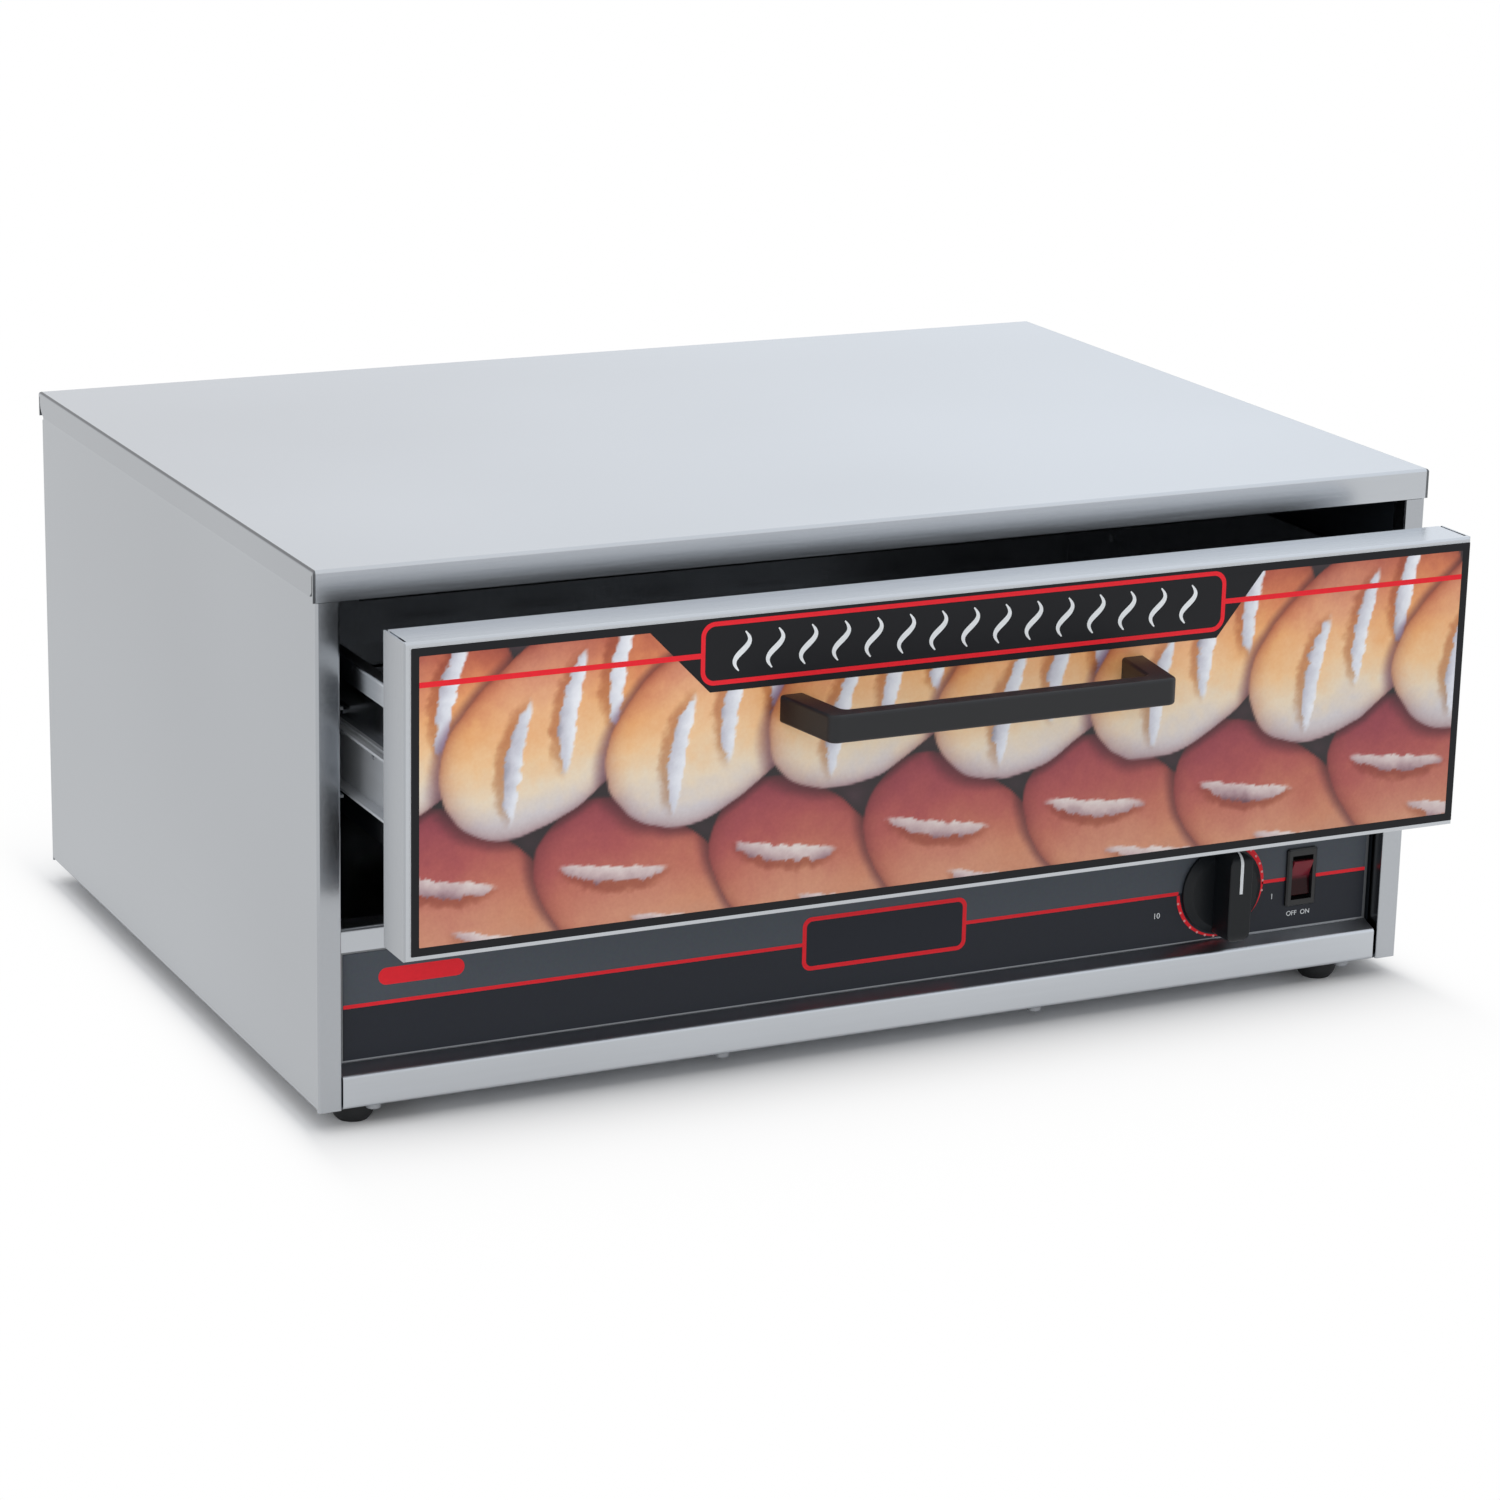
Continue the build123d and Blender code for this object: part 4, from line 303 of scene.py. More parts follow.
def laminated_print(name):
    """Four-colour print under a clear laminate: the piece's painted colours, with a fine print screen.

    The real screen's dots are about 0.2 mm apart, too fine to show, so they are drawn about 0.8 mm apart."""
    material, tree, shader = new_material(name, Roughness=0.34, IOR=1.5, Coat_Weight=0.2, Coat_Roughness=0.15)
    painted = add_node(tree, "ShaderNodeAttribute", attribute_name="painted", attribute_type="GEOMETRY")
    place = add_node(tree, "ShaderNodeTexCoord")
    screen = add_node(tree, "ShaderNodeTexNoise",
                      {"Vector": place.outputs["Object"], "Scale": 600.0, "Detail": 1.0})
    screened = add_node(tree, "ShaderNodeMix", {"Factor": 0.14, "A": painted, "B": screen}, data_type="RGBA",
                        blend_type="SOFT_LIGHT")
    feed(tree, shader, {"Base Color": screened.outputs["Result"]})
    return material


def screen_print(name, shade):
    """Screen-printed ink: an opaque even coat with a faint mottle."""
    return mottled(name, tinted(shade, 0.94), tinted(shade, 1.05), 1.2 * MM, roughness=(0.42, 0.5),
                   Specular_IOR_Level=0.25)


def moulded(name, shade, roughness, grain, **sockets):
    """Injection-moulded plastic: an even colour with the fine grain of a spark-eroded mould."""
    return mottled(name, tinted(shade, 0.88), tinted(shade, 1.12), grain,
                   roughness=(roughness - 0.05, roughness + 0.05), relief=0.15, IOR=1.5, **sockets)


# Shapes: each is its points, its four-cornered faces and its end faces


def grid_quads(rows, columns, rows_close=False, columns_close=False):
    """Faces of a grid of points counted row by row: each takes a point, the next in its row, and the two over
    them in the next row. A way that closes joins its last line to its first."""
    i, j = np.meshgrid(np.arange(rows - (not rows_close)), np.arange(columns - (not columns_close)),
                       indexing="ij")
    up, ahead = (i + 1) % rows, (j + 1) % columns
    corners = [i * columns + j, i * columns + ahead, up * columns + ahead, up * columns + j]
    return np.stack(corners, axis=-1).reshape(-1, 4)


def on_front(outline, y):
    """Places points given as x and z on a plane that faces the front."""
    outline = np.asarray(outline, float)
    return np.column_stack([outline[:, 0], np.full(len(outline), y), outline[:, 1]])


def rounded_rectangle(centre, width, height, radius, steps=10):
    """Outline of a rectangle with round corners: a quarter circle at each corner, from corner centre plus
    radius times cosine and sine."""
    turns = np.concatenate([np.linspace(q, q + 1, steps + 1) for q in range(4)]) * math.pi / 2
    signs = np.repeat([(1, 1), (-1, 1), (-1, -1), (1, -1)], steps + 1, axis=0)
    corners = signs * [width / 2 - radius, height / 2 - radius]
    return np.asarray(centre) + corners + radius * np.column_stack([np.cos(turns), np.sin(turns)])


def plate(outline, y, thickness=PRINT):
    """A flat plate: the outline at y, again one thickness in front, and a wall between them."""
    count = len(outline)
    points = np.concatenate([on_front(outline, y), on_front(outline, y - thickness)])
    return points, grid_quads(2, count, columns_close=True), [np.arange(count), np.arange(count, 2 * count)]


def printed_frame(centre, width, height, edge, radii, y, thickness=PRINT, steps=10):
    """A flat frame: a rectangle carried round between a round-cornered outline and one inside its edge."""
    outer = rounded_rectangle(centre, width, height, radii[0], steps)
    inner = rounded_rectangle(centre, width - 2 * edge, height - 2 * edge, radii[1], steps)
    ahead = y - thickness
    loops = [on_front(outer, y), on_front(inner, y), on_front(inner, ahead), on_front(outer, ahead)]
    return np.concatenate(loops), grid_quads(4, len(outer), rows_close=True, columns_close=True), []


def ribbon(path, outward, width, thickness=PRINT):
    """A flat ribbon along a path of points: half its width to either side, square to the path and to the
    outward direction, and one thickness outwards."""
    path = np.asarray(path, float)
    outward = np.broadcast_to(outward, path.shape)
    side = np.cross(np.gradient(path, axis=0), outward)
    side /= np.linalg.norm(side, axis=1)[:, None]
    side = side * (np.broadcast_to(width, len(path)) / 2)[:, None]
    raised = path + outward * thickness
    points = np.stack([path - side, path + side, raised + side, raised - side], axis=1).reshape(-1, 3)
    count = len(points)
    return points, grid_quads(len(path), 4, columns_close=True), [np.arange(4), np.arange(count - 4, count)]


def stroke(path, width, y, thickness=PRINT):
    """A printed stroke along a path of x and z points on a plane that faces the front."""
    return ribbon(on_front(path, y), (0, -1, 0), width, thickness)


def level_strokes(spans, z, width, y, thickness=PRINT):
    """Level strokes at one height, one for each span from x to x."""
    return [stroke([(start, z), (end, z)], width, y, thickness) for start, end in spans]


def new_piece(name, shapes, material, body):
    """One closed mesh made of several shapes, its faces turned outwards, riding on a body."""
    starts = np.cumsum([0] + [len(points) for points, _, _ in shapes])
    faces = []
    for start, (_, quads, ends) in zip(starts, shapes):
        faces += (quads + start).tolist() + [(end + start).tolist() for end in ends]
    mesh = bpy.data.meshes.new(name)
    mesh.from_pydata(np.concatenate([points for points, _, _ in shapes]).tolist(), [], faces)
    shell = bmesh.new()
    shell.from_mesh(mesh)
    bmesh.ops.recalc_face_normals(shell, faces=shell.faces)
    shell.to_mesh(mesh)
    shell.free()
    return placed(name, mesh, material, body)


def placed(name, mesh, material, body):
    """Puts a finished mesh into the scene, riding on a body."""
    mesh.materials.append(material)
    piece = bpy.data.objects.new(name, mesh)
    bpy.context.scene.collection.objects.link(piece)
    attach(piece, body)
    return piece


def printed_words(name, words, height, centre, y, material, body):
    """A numeral or an ON and OFF mark, as flat print in front of a plane."""
    capital_share = 0.7
    curve = bpy.data.curves.new(name, "FONT")
    curve.body = words
    curve.size = height / capital_share
    curve.extrude = 0.6 * PRINT
    curve.align_x = "CENTER"
    curve.align_y = "CENTER"
    holder = bpy.data.objects.new(name + "_curve", curve)
    bpy.context.scene.collection.objects.link(holder)
    bpy.context.view_layer.update()
    mesh = bpy.data.meshes.new_from_object(holder.evaluated_get(bpy.context.evaluated_depsgraph_get()))
    bpy.data.objects.remove(holder)
    mesh.transform(Matrix.Translation((centre[0], y, centre[1])) @ Matrix.Rotation(math.pi / 2, 4, "X"))
    return placed(name, mesh, material, body)


def dress(material, *nodes):
    """Gives CAD nodes a material."""
    for name in nodes:
        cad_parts[name].material_slots[0].material = material


def middle_of(node):
    """The x and z of a node's middle."""
    low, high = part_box(node)
    return (low.x + high.x) / 2, (low.z + high.z) / 2


# The bread picture


def smooth(value, low, high):
    """Smoothstep from 0 at the low value to 1 at the high value."""
    t = np.clip((value - low) / (high - low), 0, 1)
    return t * t * (3 - 2 * t)


def lattice_noise(x, z, cell, seed):
    """Smooth noise from 0 to 1: random values on a square lattice, blended by the smoothstep of the place
    within a cell."""
    values = np.random.default_rng(seed).random((int(np.ptp(x) / cell) + 3, int(np.ptp(z) / cell) + 3))
    u, v = (x - x.min()) / cell, (z - z.min()) / cell
    i, j = np.floor(u).astype(int), np.floor(v).astype(int)
    s, t = smooth(u - i, 0, 1), smooth(v - j, 0, 1)
    low = values[i, j] * (1 - s) + values[i + 1, j] * s
    high = values[i, j + 1] * (1 - s) + values[i + 1, j + 1] * s
    return low * (1 - t) + high * t


def cloudy(x, z, cell, seed):
    """Three layers of lattice noise about zero, each half the size and half the strength of the last."""
    return sum((lattice_noise(x, z, cell / 2 ** k, seed + k) - 0.5) / 2 ** k for k in range(3))


def ramp(tone, codes):
    """Colours along evenly spaced hex stops, in sRGB."""
    stops = np.array([[int(code[i:i + 2], 16) / 255 for i in (0, 2, 4)] for code in codes])
    places = np.linspace(0, 1, len(codes))
    return np.stack([np.interp(tone, places, stops[:, k]) for k in range(3)], axis=-1)


def lay_over(canvas, layer, cover):
    """Lays a layer over the canvas as far as the cover says."""
    canvas += (layer - canvas) * cover[..., None]


# One row of loaves each. Level, top and foot are shares of the picture's height; width, start and cuts are
# shares of the pitch or of half a loaf; turn and slant are angles in radians.
HIGH_ROW = {
    "level": 0.72, "top": 1.02, "foot": 0.36, "turn": 0.62, "width": 0.46, "start": -0.15,
    "crust": ["AE4E38", "D67E52", "ECA96C", "F1C592", "EAD8BE", "D2CDCF"],
    "crumb": ["8E8A98", "C4C4D0", "DEE1EA", "F2F4FA"],
    "cuts": (-0.45, 0.05, 0.5), "slant": 0.75, "gloss": 0.2,
}
LOW_ROW = {
    "level": 0.10, "top": 0.50, "foot": -0.05, "turn": 2.42, "width": 0.44, "start": -0.6,
    "crust": ["76283A", "943A46", "AA4E4C", "BC6A56", "CB8666", "C89074"],
    "crumb": ["6A4450", "A88A90", "CDB8B8", "E2D6D2"],
    "cuts": (-0.28, 0.38), "slant": 0.55, "gloss": 0.08,
}


def paint_loaf(canvas, x, z, fall, row, centre, turn, pitch, seed):
    """Paints one long loaf. Its edge is where (u / half length)^2.4 + (v / half width)^2.4 = 1, its height is
    the root of what is left, and its crust runs from the top of the row to its foot. A cut is a thin bow."""
    half_length, half_width = 0.8 * pitch, row["width"] * pitch
    u = (x - centre[0]) * math.cos(turn) + (z - centre[1]) * math.sin(turn)
    v = (z - centre[1]) * math.cos(turn) - (x - centre[0]) * math.sin(turn)
    broad, fine = cloudy(x, z, 0.02, seed + 5), cloudy(x, z, 0.004, seed + 9)
    wobble = 1 + 0.05 * cloudy(x, z, 0.03, seed)
    edge = (np.abs(u / half_length) / wobble) ** 2.4 + (np.abs(v / half_width) / wobble) ** 2.4
    canvas *= 1 - smooth(edge, 1.35, 0.95)[..., None] * (0.42, 0.55, 0.46)
    height = np.sqrt(np.clip(1 - edge, 0, 1))
    side = -v / half_width
    crust = ramp(np.clip(fall + 0.1 * broad + 0.05 * fine + 0.1 * side, 0, 1), row["crust"])
    crust *= 1 - smooth(height, 0.7, -0.15)[..., None] * (0.3, 0.46, 0.44)
    shine = smooth(height - 0.5 * side - 0.55 * np.abs(u) / half_length, 0.5, 1.25)
    lay_over(crust, 1.0, row["gloss"] * shine)
    for place in row["cuts"]:
        near = u - place * half_length
        a = near * math.cos(row["slant"]) + v * math.sin(row["slant"])
        b = v * math.cos(row["slant"]) - near * math.sin(row["slant"])
        b = b + 0.16 * a * a / half_width + 0.0022 * fine
        reach = (a / (0.74 * half_width)) ** 2
        lip = smooth(reach + ((b - 0.0016) / (0.2 * half_width)) ** 2, 1.3, 0.4) * smooth(b, -MM, MM)
        crust *= 1 - lip[..., None] * (0.18, 0.3, 0.38)
        depth = b / (0.11 * half_width)
        crumb = ramp(np.clip(0.62 + 0.35 * fine + 0.3 * broad - 0.35 * depth, 0, 1), row["crumb"])
        cover = smooth(reach + depth ** 2 + 0.25 * fine, 1.1, 0.75) * smooth(height, 0.05, 0.2)
        lay_over(crust, crumb, cover)
    lay_over(canvas, crust, smooth(edge, 1.02, 0.97))


def painted_bread(x, z, pitch):
    """The whole picture as linear colours: a dark ground, a low row of russet loaves leaning left, and a high
    row of golden loaves leaning right, whose feet are pale."""
    low, tall = z.min(), np.ptp(z)
    canvas = ramp(0.5 + cloudy(x, z, 0.05, 3), ["2A1A22", "4A2C36"])
    rng = np.random.default_rng(12)
    for number, row in enumerate((LOW_ROW, HIGH_ROW)):
        fall = (row["top"] - (z - low) / tall) / (row["top"] - row["foot"])
        for place in range(int(np.ptp(x) / pitch) + 3):
            shift_x, shift_z, shift_turn = rng.uniform(-1, 1, 3)
            centre = (x.min() + (place + row["start"]) * pitch + 3 * MM * shift_x,
                      low + row["level"] * tall + 4 * MM * shift_z)
            turn = row["turn"] + 0.06 * shift_turn
            paint_loaf(canvas, x, z, fall, row, centre, turn, pitch, 60 * number + 7 * place)
    canvas = np.clip(canvas, 0, 1)
    return np.where(canvas <= 0.04045, canvas / 12.92, ((canvas + 0.055) / 1.055) ** 2.4)


def picture_slab(low, high, step):
    """The printed panel as a closed slab: a fine grid in front, a wall round it and one plain face behind."""
    columns = int(round((high.x - low.x) / step)) + 1
    rows = int(round((high.z - low.z) / step)) + 1
    x, z = np.meshgrid(np.linspace(low.x, high.x, columns), np.linspace(low.z, high.z, rows), indexing="ij")
    front = np.column_stack([x.ravel(), np.full(x.size, low.y), z.ravel()])
    index = np.arange(x.size).reshape(columns, rows)
    rim = np.concatenate([index[:, 0], index[-1, 1:], index[-2::-1, -1], index[0, -2:0:-1]])
    behind = x.size + np.arange(len(rim))
    back = front[rim] * (1, 0, 1) + (0, high.y, 0)
    wall = np.stack([rim, np.roll(rim, -1), np.roll(behind, -1), behind], axis=-1)
    quads = np.concatenate([grid_quads(columns, rows), wall])
    return (np.concatenate([front, back]), quads, [behind]), x, z


# Operators, one for each piece or group of like pieces


class StainlessSheets(bpy.types.Operator):
    """Brushed finish on the cabinet's and the drawer's sheets"""

    bl_idname = "bun_warmer.stainless_sheets"
    bl_label = "Stainless sheets"

    def execute(self, context):
        finish = sizes("sheet")
        across, deep = (0.03, 1, 1), (1, 0.03, 1)
        # Half the size of each box: a face up to its bends, and one metre along an axis without a limit.
        cover_top = (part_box("top_cover")[1].x - 1.4 * MM, 1, 1)
        pan_face = (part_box("drawer_front_pan")[1].x - 0.8 * MM, 1, 1)
        tub_inside = (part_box("tub_front_wall")[1].x + 1.3 * MM, 1, 1)
        post_low, post_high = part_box("right_side_panel")
        post_back = (post_high.x - 11.5 * MM, -post_low.y - MM, 1)
        film_low, film_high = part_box("control_overlay")
        film_z = (film_low.z + film_high.z) / 2
        film_half = (1, -film_low.y, film_high.z - film_z + MM)
        dress(brushed_stainless("brushed_stainless_across", across, 1.0), "drawer_front_backing",
              "back_panel", "base_pan", "heater_deck", "element_supports", "bulb_clips")
        # Bent over at both sides, with painted shade: the flaps, bends and cut edges are darker than the top.
        dress(brushed_stainless("shaded_bent_stainless_across", across, finish.flap_shade, cover_top, 1 / finish.flap_shade,
                                edge_shade_tone=finish.edge), "top_cover")
        # Folded back at both sides, with painted shade: the ends are darker than the face.
        dress(brushed_stainless("folded_stainless_across", across, finish.side_shade, pan_face,
                                1 / finish.side_shade), "drawer_front_pan")
        # Recessed: painted shade darkens the face round the film, and its reflections are blurred.
        dress(brushed_stainless("shaded_stainless_across", across, 1.0, film_half, finish.recess_shade, film_z,
                                0.12), "control_panel")
        # Brushed along the depth, with painted shade: a shade darker, and darker still on the backs of the
        # posts.
        dress(brushed_stainless("shaded_brushed_stainless_deep", deep, finish.side_shade, post_back, finish.recess_shade),
              "left_side_panel", "right_side_panel")
        # Painted shade on the tub: its walls and bottom are darker, all but the lip of its rim.
        dress(brushed_stainless("tub_shaded_stainless_deep", deep, 1.0, tub_inside, finish.tub_shade),
              "drawer_tub", "tub_front_wall", "tub_rear_wall")
        return {"FINISHED"}


class PaintedLiner(bpy.types.Operator):
    """Dark paint on the liner"""

    bl_idname = "bun_warmer.painted_liner"
    bl_label = "Painted liner"

    def execute(self, context):
        # Baked stove enamel: an even dull black with a faint orange-peel surface.
        shade = sizes("sheet").liner
        enamel = mottled("baked_black_enamel", tinted(shade, 0.85), tinted(shade, 1.15), 1.5 * MM,
                         roughness=(0.5, 0.6), relief=0.08, Specular_IOR_Level=0.3)
        dress(enamel, "left_liner", "right_liner", "rear_liner", "ceiling_pan")
        return {"FINISHED"}


class ControlFilm(bpy.types.Operator):
    """Printed film on the control panel with its line, name plate, pill and dial marks"""

    bl_idname = "bun_warmer.control_film"
    bl_label = "Control film"
    dial_radius = 25.4 * MM

    def execute(self, context):
        finish = sizes("print")
        low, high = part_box("control_overlay")
        y, line_z = low.y, low.z + finish.stripe_height
        knob = middle_of("control_knob")
        bezel_low, bezel_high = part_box("rocker_switch_body")
        plate_centre, plate_width, plate_height = (1.7 * MM, line_z), 92.5 * MM, 28 * MM
        plate_radii = (5 * MM, 3.2 * MM)
        pill = rounded_rectangle((-247.6 * MM, line_z + 13 * MM), 44 * MM, 8.6 * MM, 4.2 * MM)
        dress(printed_film("printed_polycarbonate_film", line_z), "control_overlay")
        name_plate = plate(rounded_rectangle(plate_centre, plate_width, plate_height, plate_radii[0]), y)
        spans = [(low.x, plate_centre[0] - plate_width / 2 + PRINT),
                 (plate_centre[0] + plate_width / 2 - PRINT, knob[0] - self.dial_radius),
                 (knob[0] + self.dial_radius, bezel_low.x - PRINT), (bezel_high.x + PRINT, high.x)]
        marks = level_strokes(spans, line_z, finish.stripe, y)
        marks.append(printed_frame(plate_centre, plate_width, plate_height, finish.outline, plate_radii, y,
                                   2 * PRINT))
        marks.append(plate(pill, y))
        marks.append(self.dial_arc(knob, self.dial_radius - 0.6 * MM, (72, -38), (0.4, 4.6, 3.6, 0.5), y))
        marks.append(self.dial_arc(knob, self.dial_radius, (182, 285), (1.6, 2.2, 1.6, 0.4), y))
        beads = self.beads(knob, self.dial_radius + 0.4 * MM, y)
        for name, shapes, ink, shade in (
            ("name_plate", [name_plate], "black_screen_ink", finish.ink),
            ("red_marks", marks, "red_screen_ink", finish.red),
            ("dial_beads", beads, "pale_red_screen_ink", finish.bead),
        ):
            new_piece(name, shapes, screen_print(ink, shade), "cabinet")
        white = screen_print("white_screen_ink", finish.white)
        for name, words, height, centre in (
            ("dial_high_numeral", "10", 3.0 * MM, (knob[0] - 38 * MM, knob[1] - 10.5 * MM)),
            ("dial_low_numeral", "1", 3.0 * MM, (knob[0] + 32 * MM, knob[1] - 8.5 * MM)),
            ("switch_mark", "OFF  ON", 2.6 * MM, ((bezel_low.x + bezel_high.x) / 2, bezel_low.z - 4.4 * MM)),
        ):
            printed_words(name, words, height, centre, y - PRINT, white, "cabinet")
        return {"FINISHED"}

    def dial_arc(self, centre, radius, turns, widths, y):
        """A stroke round the knob: radius times cosine and sine of the turn, with the widths along it."""
        turn = np.radians(np.linspace(*turns, 48))
        width = np.interp(np.linspace(0, 1, 48), [0, 0.12, 0.5, 1], widths) * MM
        path = np.column_stack([centre[0] + radius * np.cos(turn), centre[1] + radius * np.sin(turn)])
        return stroke(path, width, y)

    def beads(self, centre, radius, y):
        """Light spots about every 12 degrees along both arcs."""
        size, corner, steps = 1.3 * MM, 0.6 * MM, 3
        turns = np.radians([58, 47, 36, 25, 14, 3, -9, 192, 204, 216, 228, 240, 252, 264])
        places = np.asarray(centre) + radius * np.column_stack([np.cos(turns), np.sin(turns)])
        return [plate(rounded_rectangle(place, size, size, corner, steps), y, 2 * PRINT) for place in places]


class PicturePanel(bpy.types.Operator):
    """Printed bread picture on the drawer with its border, lines and head plate"""

    bl_idname = "bun_warmer.picture_panel"
    bl_label = "Picture panel"

    def execute(self, context):
        finish = sizes("print")
        low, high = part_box("picture_panel")
        slab, x, z = picture_slab(low, high, finish.picture_step)
        piece = new_piece("bread_picture", [slab], laminated_print("laminated_bread_print"), "drawer")
        colours = np.ones((len(slab[0]), 4), np.float32)
        colours[:, :3] = finish.core[:3]
        bread = painted_bread(x, z, finish.loaf_pitch)
        inner = np.zeros(x.shape, bool)
        inner[1:-1, 1:-1] = True
        colours[:x.size][inner.ravel(), :3] = bread[inner]
        layer = piece.data.color_attributes.new("painted", "FLOAT_COLOR", "POINT")
        layer.data.foreach_set("color", colours.ravel())
        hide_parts("picture_panel")
        self.overprint(finish, low, high)
        return {"FINISHED"}

    def overprint(self, finish, low, high):
        """Border, head plate, outline, side lines and heat strokes, printed over the picture."""
        y, edge = low.y, finish.border
        top = high.z - edge + PRINT
        foot = top - 31.5 * MM
        border = printed_frame(middle_of("picture_panel"), high.x - low.x, high.z - low.z, edge,
                               (0.5 * MM, 0.5 * MM), y, steps=2)
        head = plate([(-166 * MM, top), (164 * MM, top), (139 * MM, foot), (-135 * MM, foot)], y)
        centre, width, height = (1.5 * MM, top - 13 * MM), 283 * MM, 30.5 * MM
        outline = printed_frame(centre, width, height, finish.outline, (7 * MM, 5 * MM), y, 3 * PRINT)
        spans = [(low.x + edge, centre[0] - width / 2 + PRINT),
                 (centre[0] + width / 2 - PRINT, high.x - edge)]
        lines = level_strokes(spans, top - 13.5 * MM, finish.pinstripe, y, 2 * PRINT)
        # Each heat stroke is one wave of a sine with a lean, thick in its middle and thin at its ends.
        pitch, half_height = 17.2 * MM, 9.4 * MM
        rise = np.linspace(-1, 1, 24)
        thick = (0.6 + 2.2 * np.cos(rise * math.pi / 2)) * MM
        sway = 3.0 * MM * np.sin(rise * math.pi) + 1.6 * MM * rise
        waves = [stroke(np.column_stack([centre[0] + number * pitch + sway, centre[1] + half_height * rise]),
                        thick, y, 2 * PRINT) for number in range(-7, 8)]
        for name, shapes, ink, shade in (
            ("black_border", [border, head], "black_laminated_ink", finish.black),
            ("red_outline", [outline, *lines], "red_laminated_ink", finish.red),
            ("heat_strokes", waves, "white_laminated_ink", finish.white),
        ):
            new_piece(name, shapes, screen_print(ink, shade), "drawer")


class BlackHandle(bpy.types.Operator):
    """Matte black bridge handle"""

    bl_idname = "bun_warmer.black_handle"
    bl_label = "Handle"

    def execute(self, context):
        # Glass-filled nylon from a textured mould: matte black that catches a soft grey sheen.
        dress(moulded("moulded_black_nylon", sizes("plastic").handle, 0.42, 0.6 * MM), "drawer_handle")
        return {"FINISHED"}


class Knob(bpy.types.Operator):
    """Thermostat knob with its white line"""

    bl_idname = "bun_warmer.knob"
    bl_label = "Knob"

    def execute(self, context):
        # Phenolic knob: black with a low polish.
        dress(moulded("moulded_black_phenolic", sizes("plastic").knob, 0.4, 0.5 * MM, Specular_IOR_Level=0.3),
              "control_knob")
        low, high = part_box("control_knob")
        x, z = middle_of("control_knob")
        # The line starts on the grip's end, goes round its corner and ends above the middle of its face.
        bend, start, stop = 6 * MM, low.y + 15 * MM, z + 3 * MM
        turn = np.linspace(0, math.pi / 2, 9)
        ahead, up = np.sin(turn), np.cos(turn)
        corner = np.column_stack([np.full(9, x), low.y + bend * (1 - ahead), high.z - bend * (1 - up)])
        path = np.concatenate([[(x, start, high.z)], corner, [(x, low.y, stop)]])
        outward = np.concatenate([[(0, 0, 1)], np.column_stack([0 * turn, -ahead, up]), [(0, -1, 0)]])
        width = sizes("plastic").pointer * np.interp(np.arange(11), [0, 2, 8, 10], [0.5, 0.6, 1, 1])
        line = ribbon(path, outward, width, 0.12 * MM)
        white = screen_print("white_pad_print", sizes("print").white)
        new_piece("knob_line", [line], white, "thermostat_knob")
        return {"FINISHED"}


class RockerSwitch(bpy.types.Operator):
    """Black switch housing and its red rocker"""

    bl_idname = "bun_warmer.rocker_switch"
    bl_label = "Rocker switch"

    def execute(self, context):
        dress(moulded("moulded_black_polyamide", linear("1A1B1D"), 0.34, 0.5 * MM), "rocker_switch_body")
        dress(self.red_acrylic(sizes("plastic")), "rocker")
        return {"FINISHED"}

    def red_acrylic(self, finish):
        """Translucent acrylic of a rocker: glossy, with painted light making it lighter red above its pivot
        and painted shade making it nearly black below it, with faint clouds about 5 mm across."""
        material, tree, shader = new_material("moulded_red_acrylic", IOR=1.49, Roughness=0.22,
                                              Specular_IOR_Level=0.2)
        middle, blend = middle_of("rocker")[1], 2 * MM
        place = add_node(tree, "ShaderNodeTexCoord")
        cloud = add_node(tree, "ShaderNodeTexNoise",
                         {"Vector": place.outputs["Object"], "Scale": 90.0, "Detail": 1.0})
        axes = add_node(tree, "ShaderNodeSeparateXYZ", {0: place.outputs["Object"]})
        # Painted light above the pivot and painted shade below it.
        fall = add_node(tree, "ShaderNodeMapRange",
                        {"Value": axes.outputs["Z"], "From Min": middle - blend, "From Max": middle + blend},
                        interpolation_type="SMOOTHSTEP")
        tone = add_node(tree, "ShaderNodeMix", {"Factor": fall, "A": finish.rocker_shaded, "B": finish.rocker},
                        data_type="RGBA")
        clouded = add_node(tree, "ShaderNodeMix",
                           {"Factor": 0.25, "A": tone.outputs["Result"], "B": cloud.outputs["Color"]},
                           data_type="RGBA", blend_type="SOFT_LIGHT")
        feed(tree, shader, {"Base Color": clouded.outputs["Result"]})
        return material


class RubberFeet(bpy.types.Operator):
    """Black rubber feet"""

    bl_idname = "bun_warmer.rubber_feet"
    bl_label = "Feet"

    def execute(self, context):
        # Moulded rubber: near black and dull, with a bloom that greys it in spots.
        shade = sizes("plastic").rubber
        dress(mottled("moulded_rubber", tinted(shade, 0.85), tinted(shade, 1.25), 1.2 * MM,
                      roughness=(0.62, 0.75), relief=0.3), "feet")
        return {"FINISHED"}


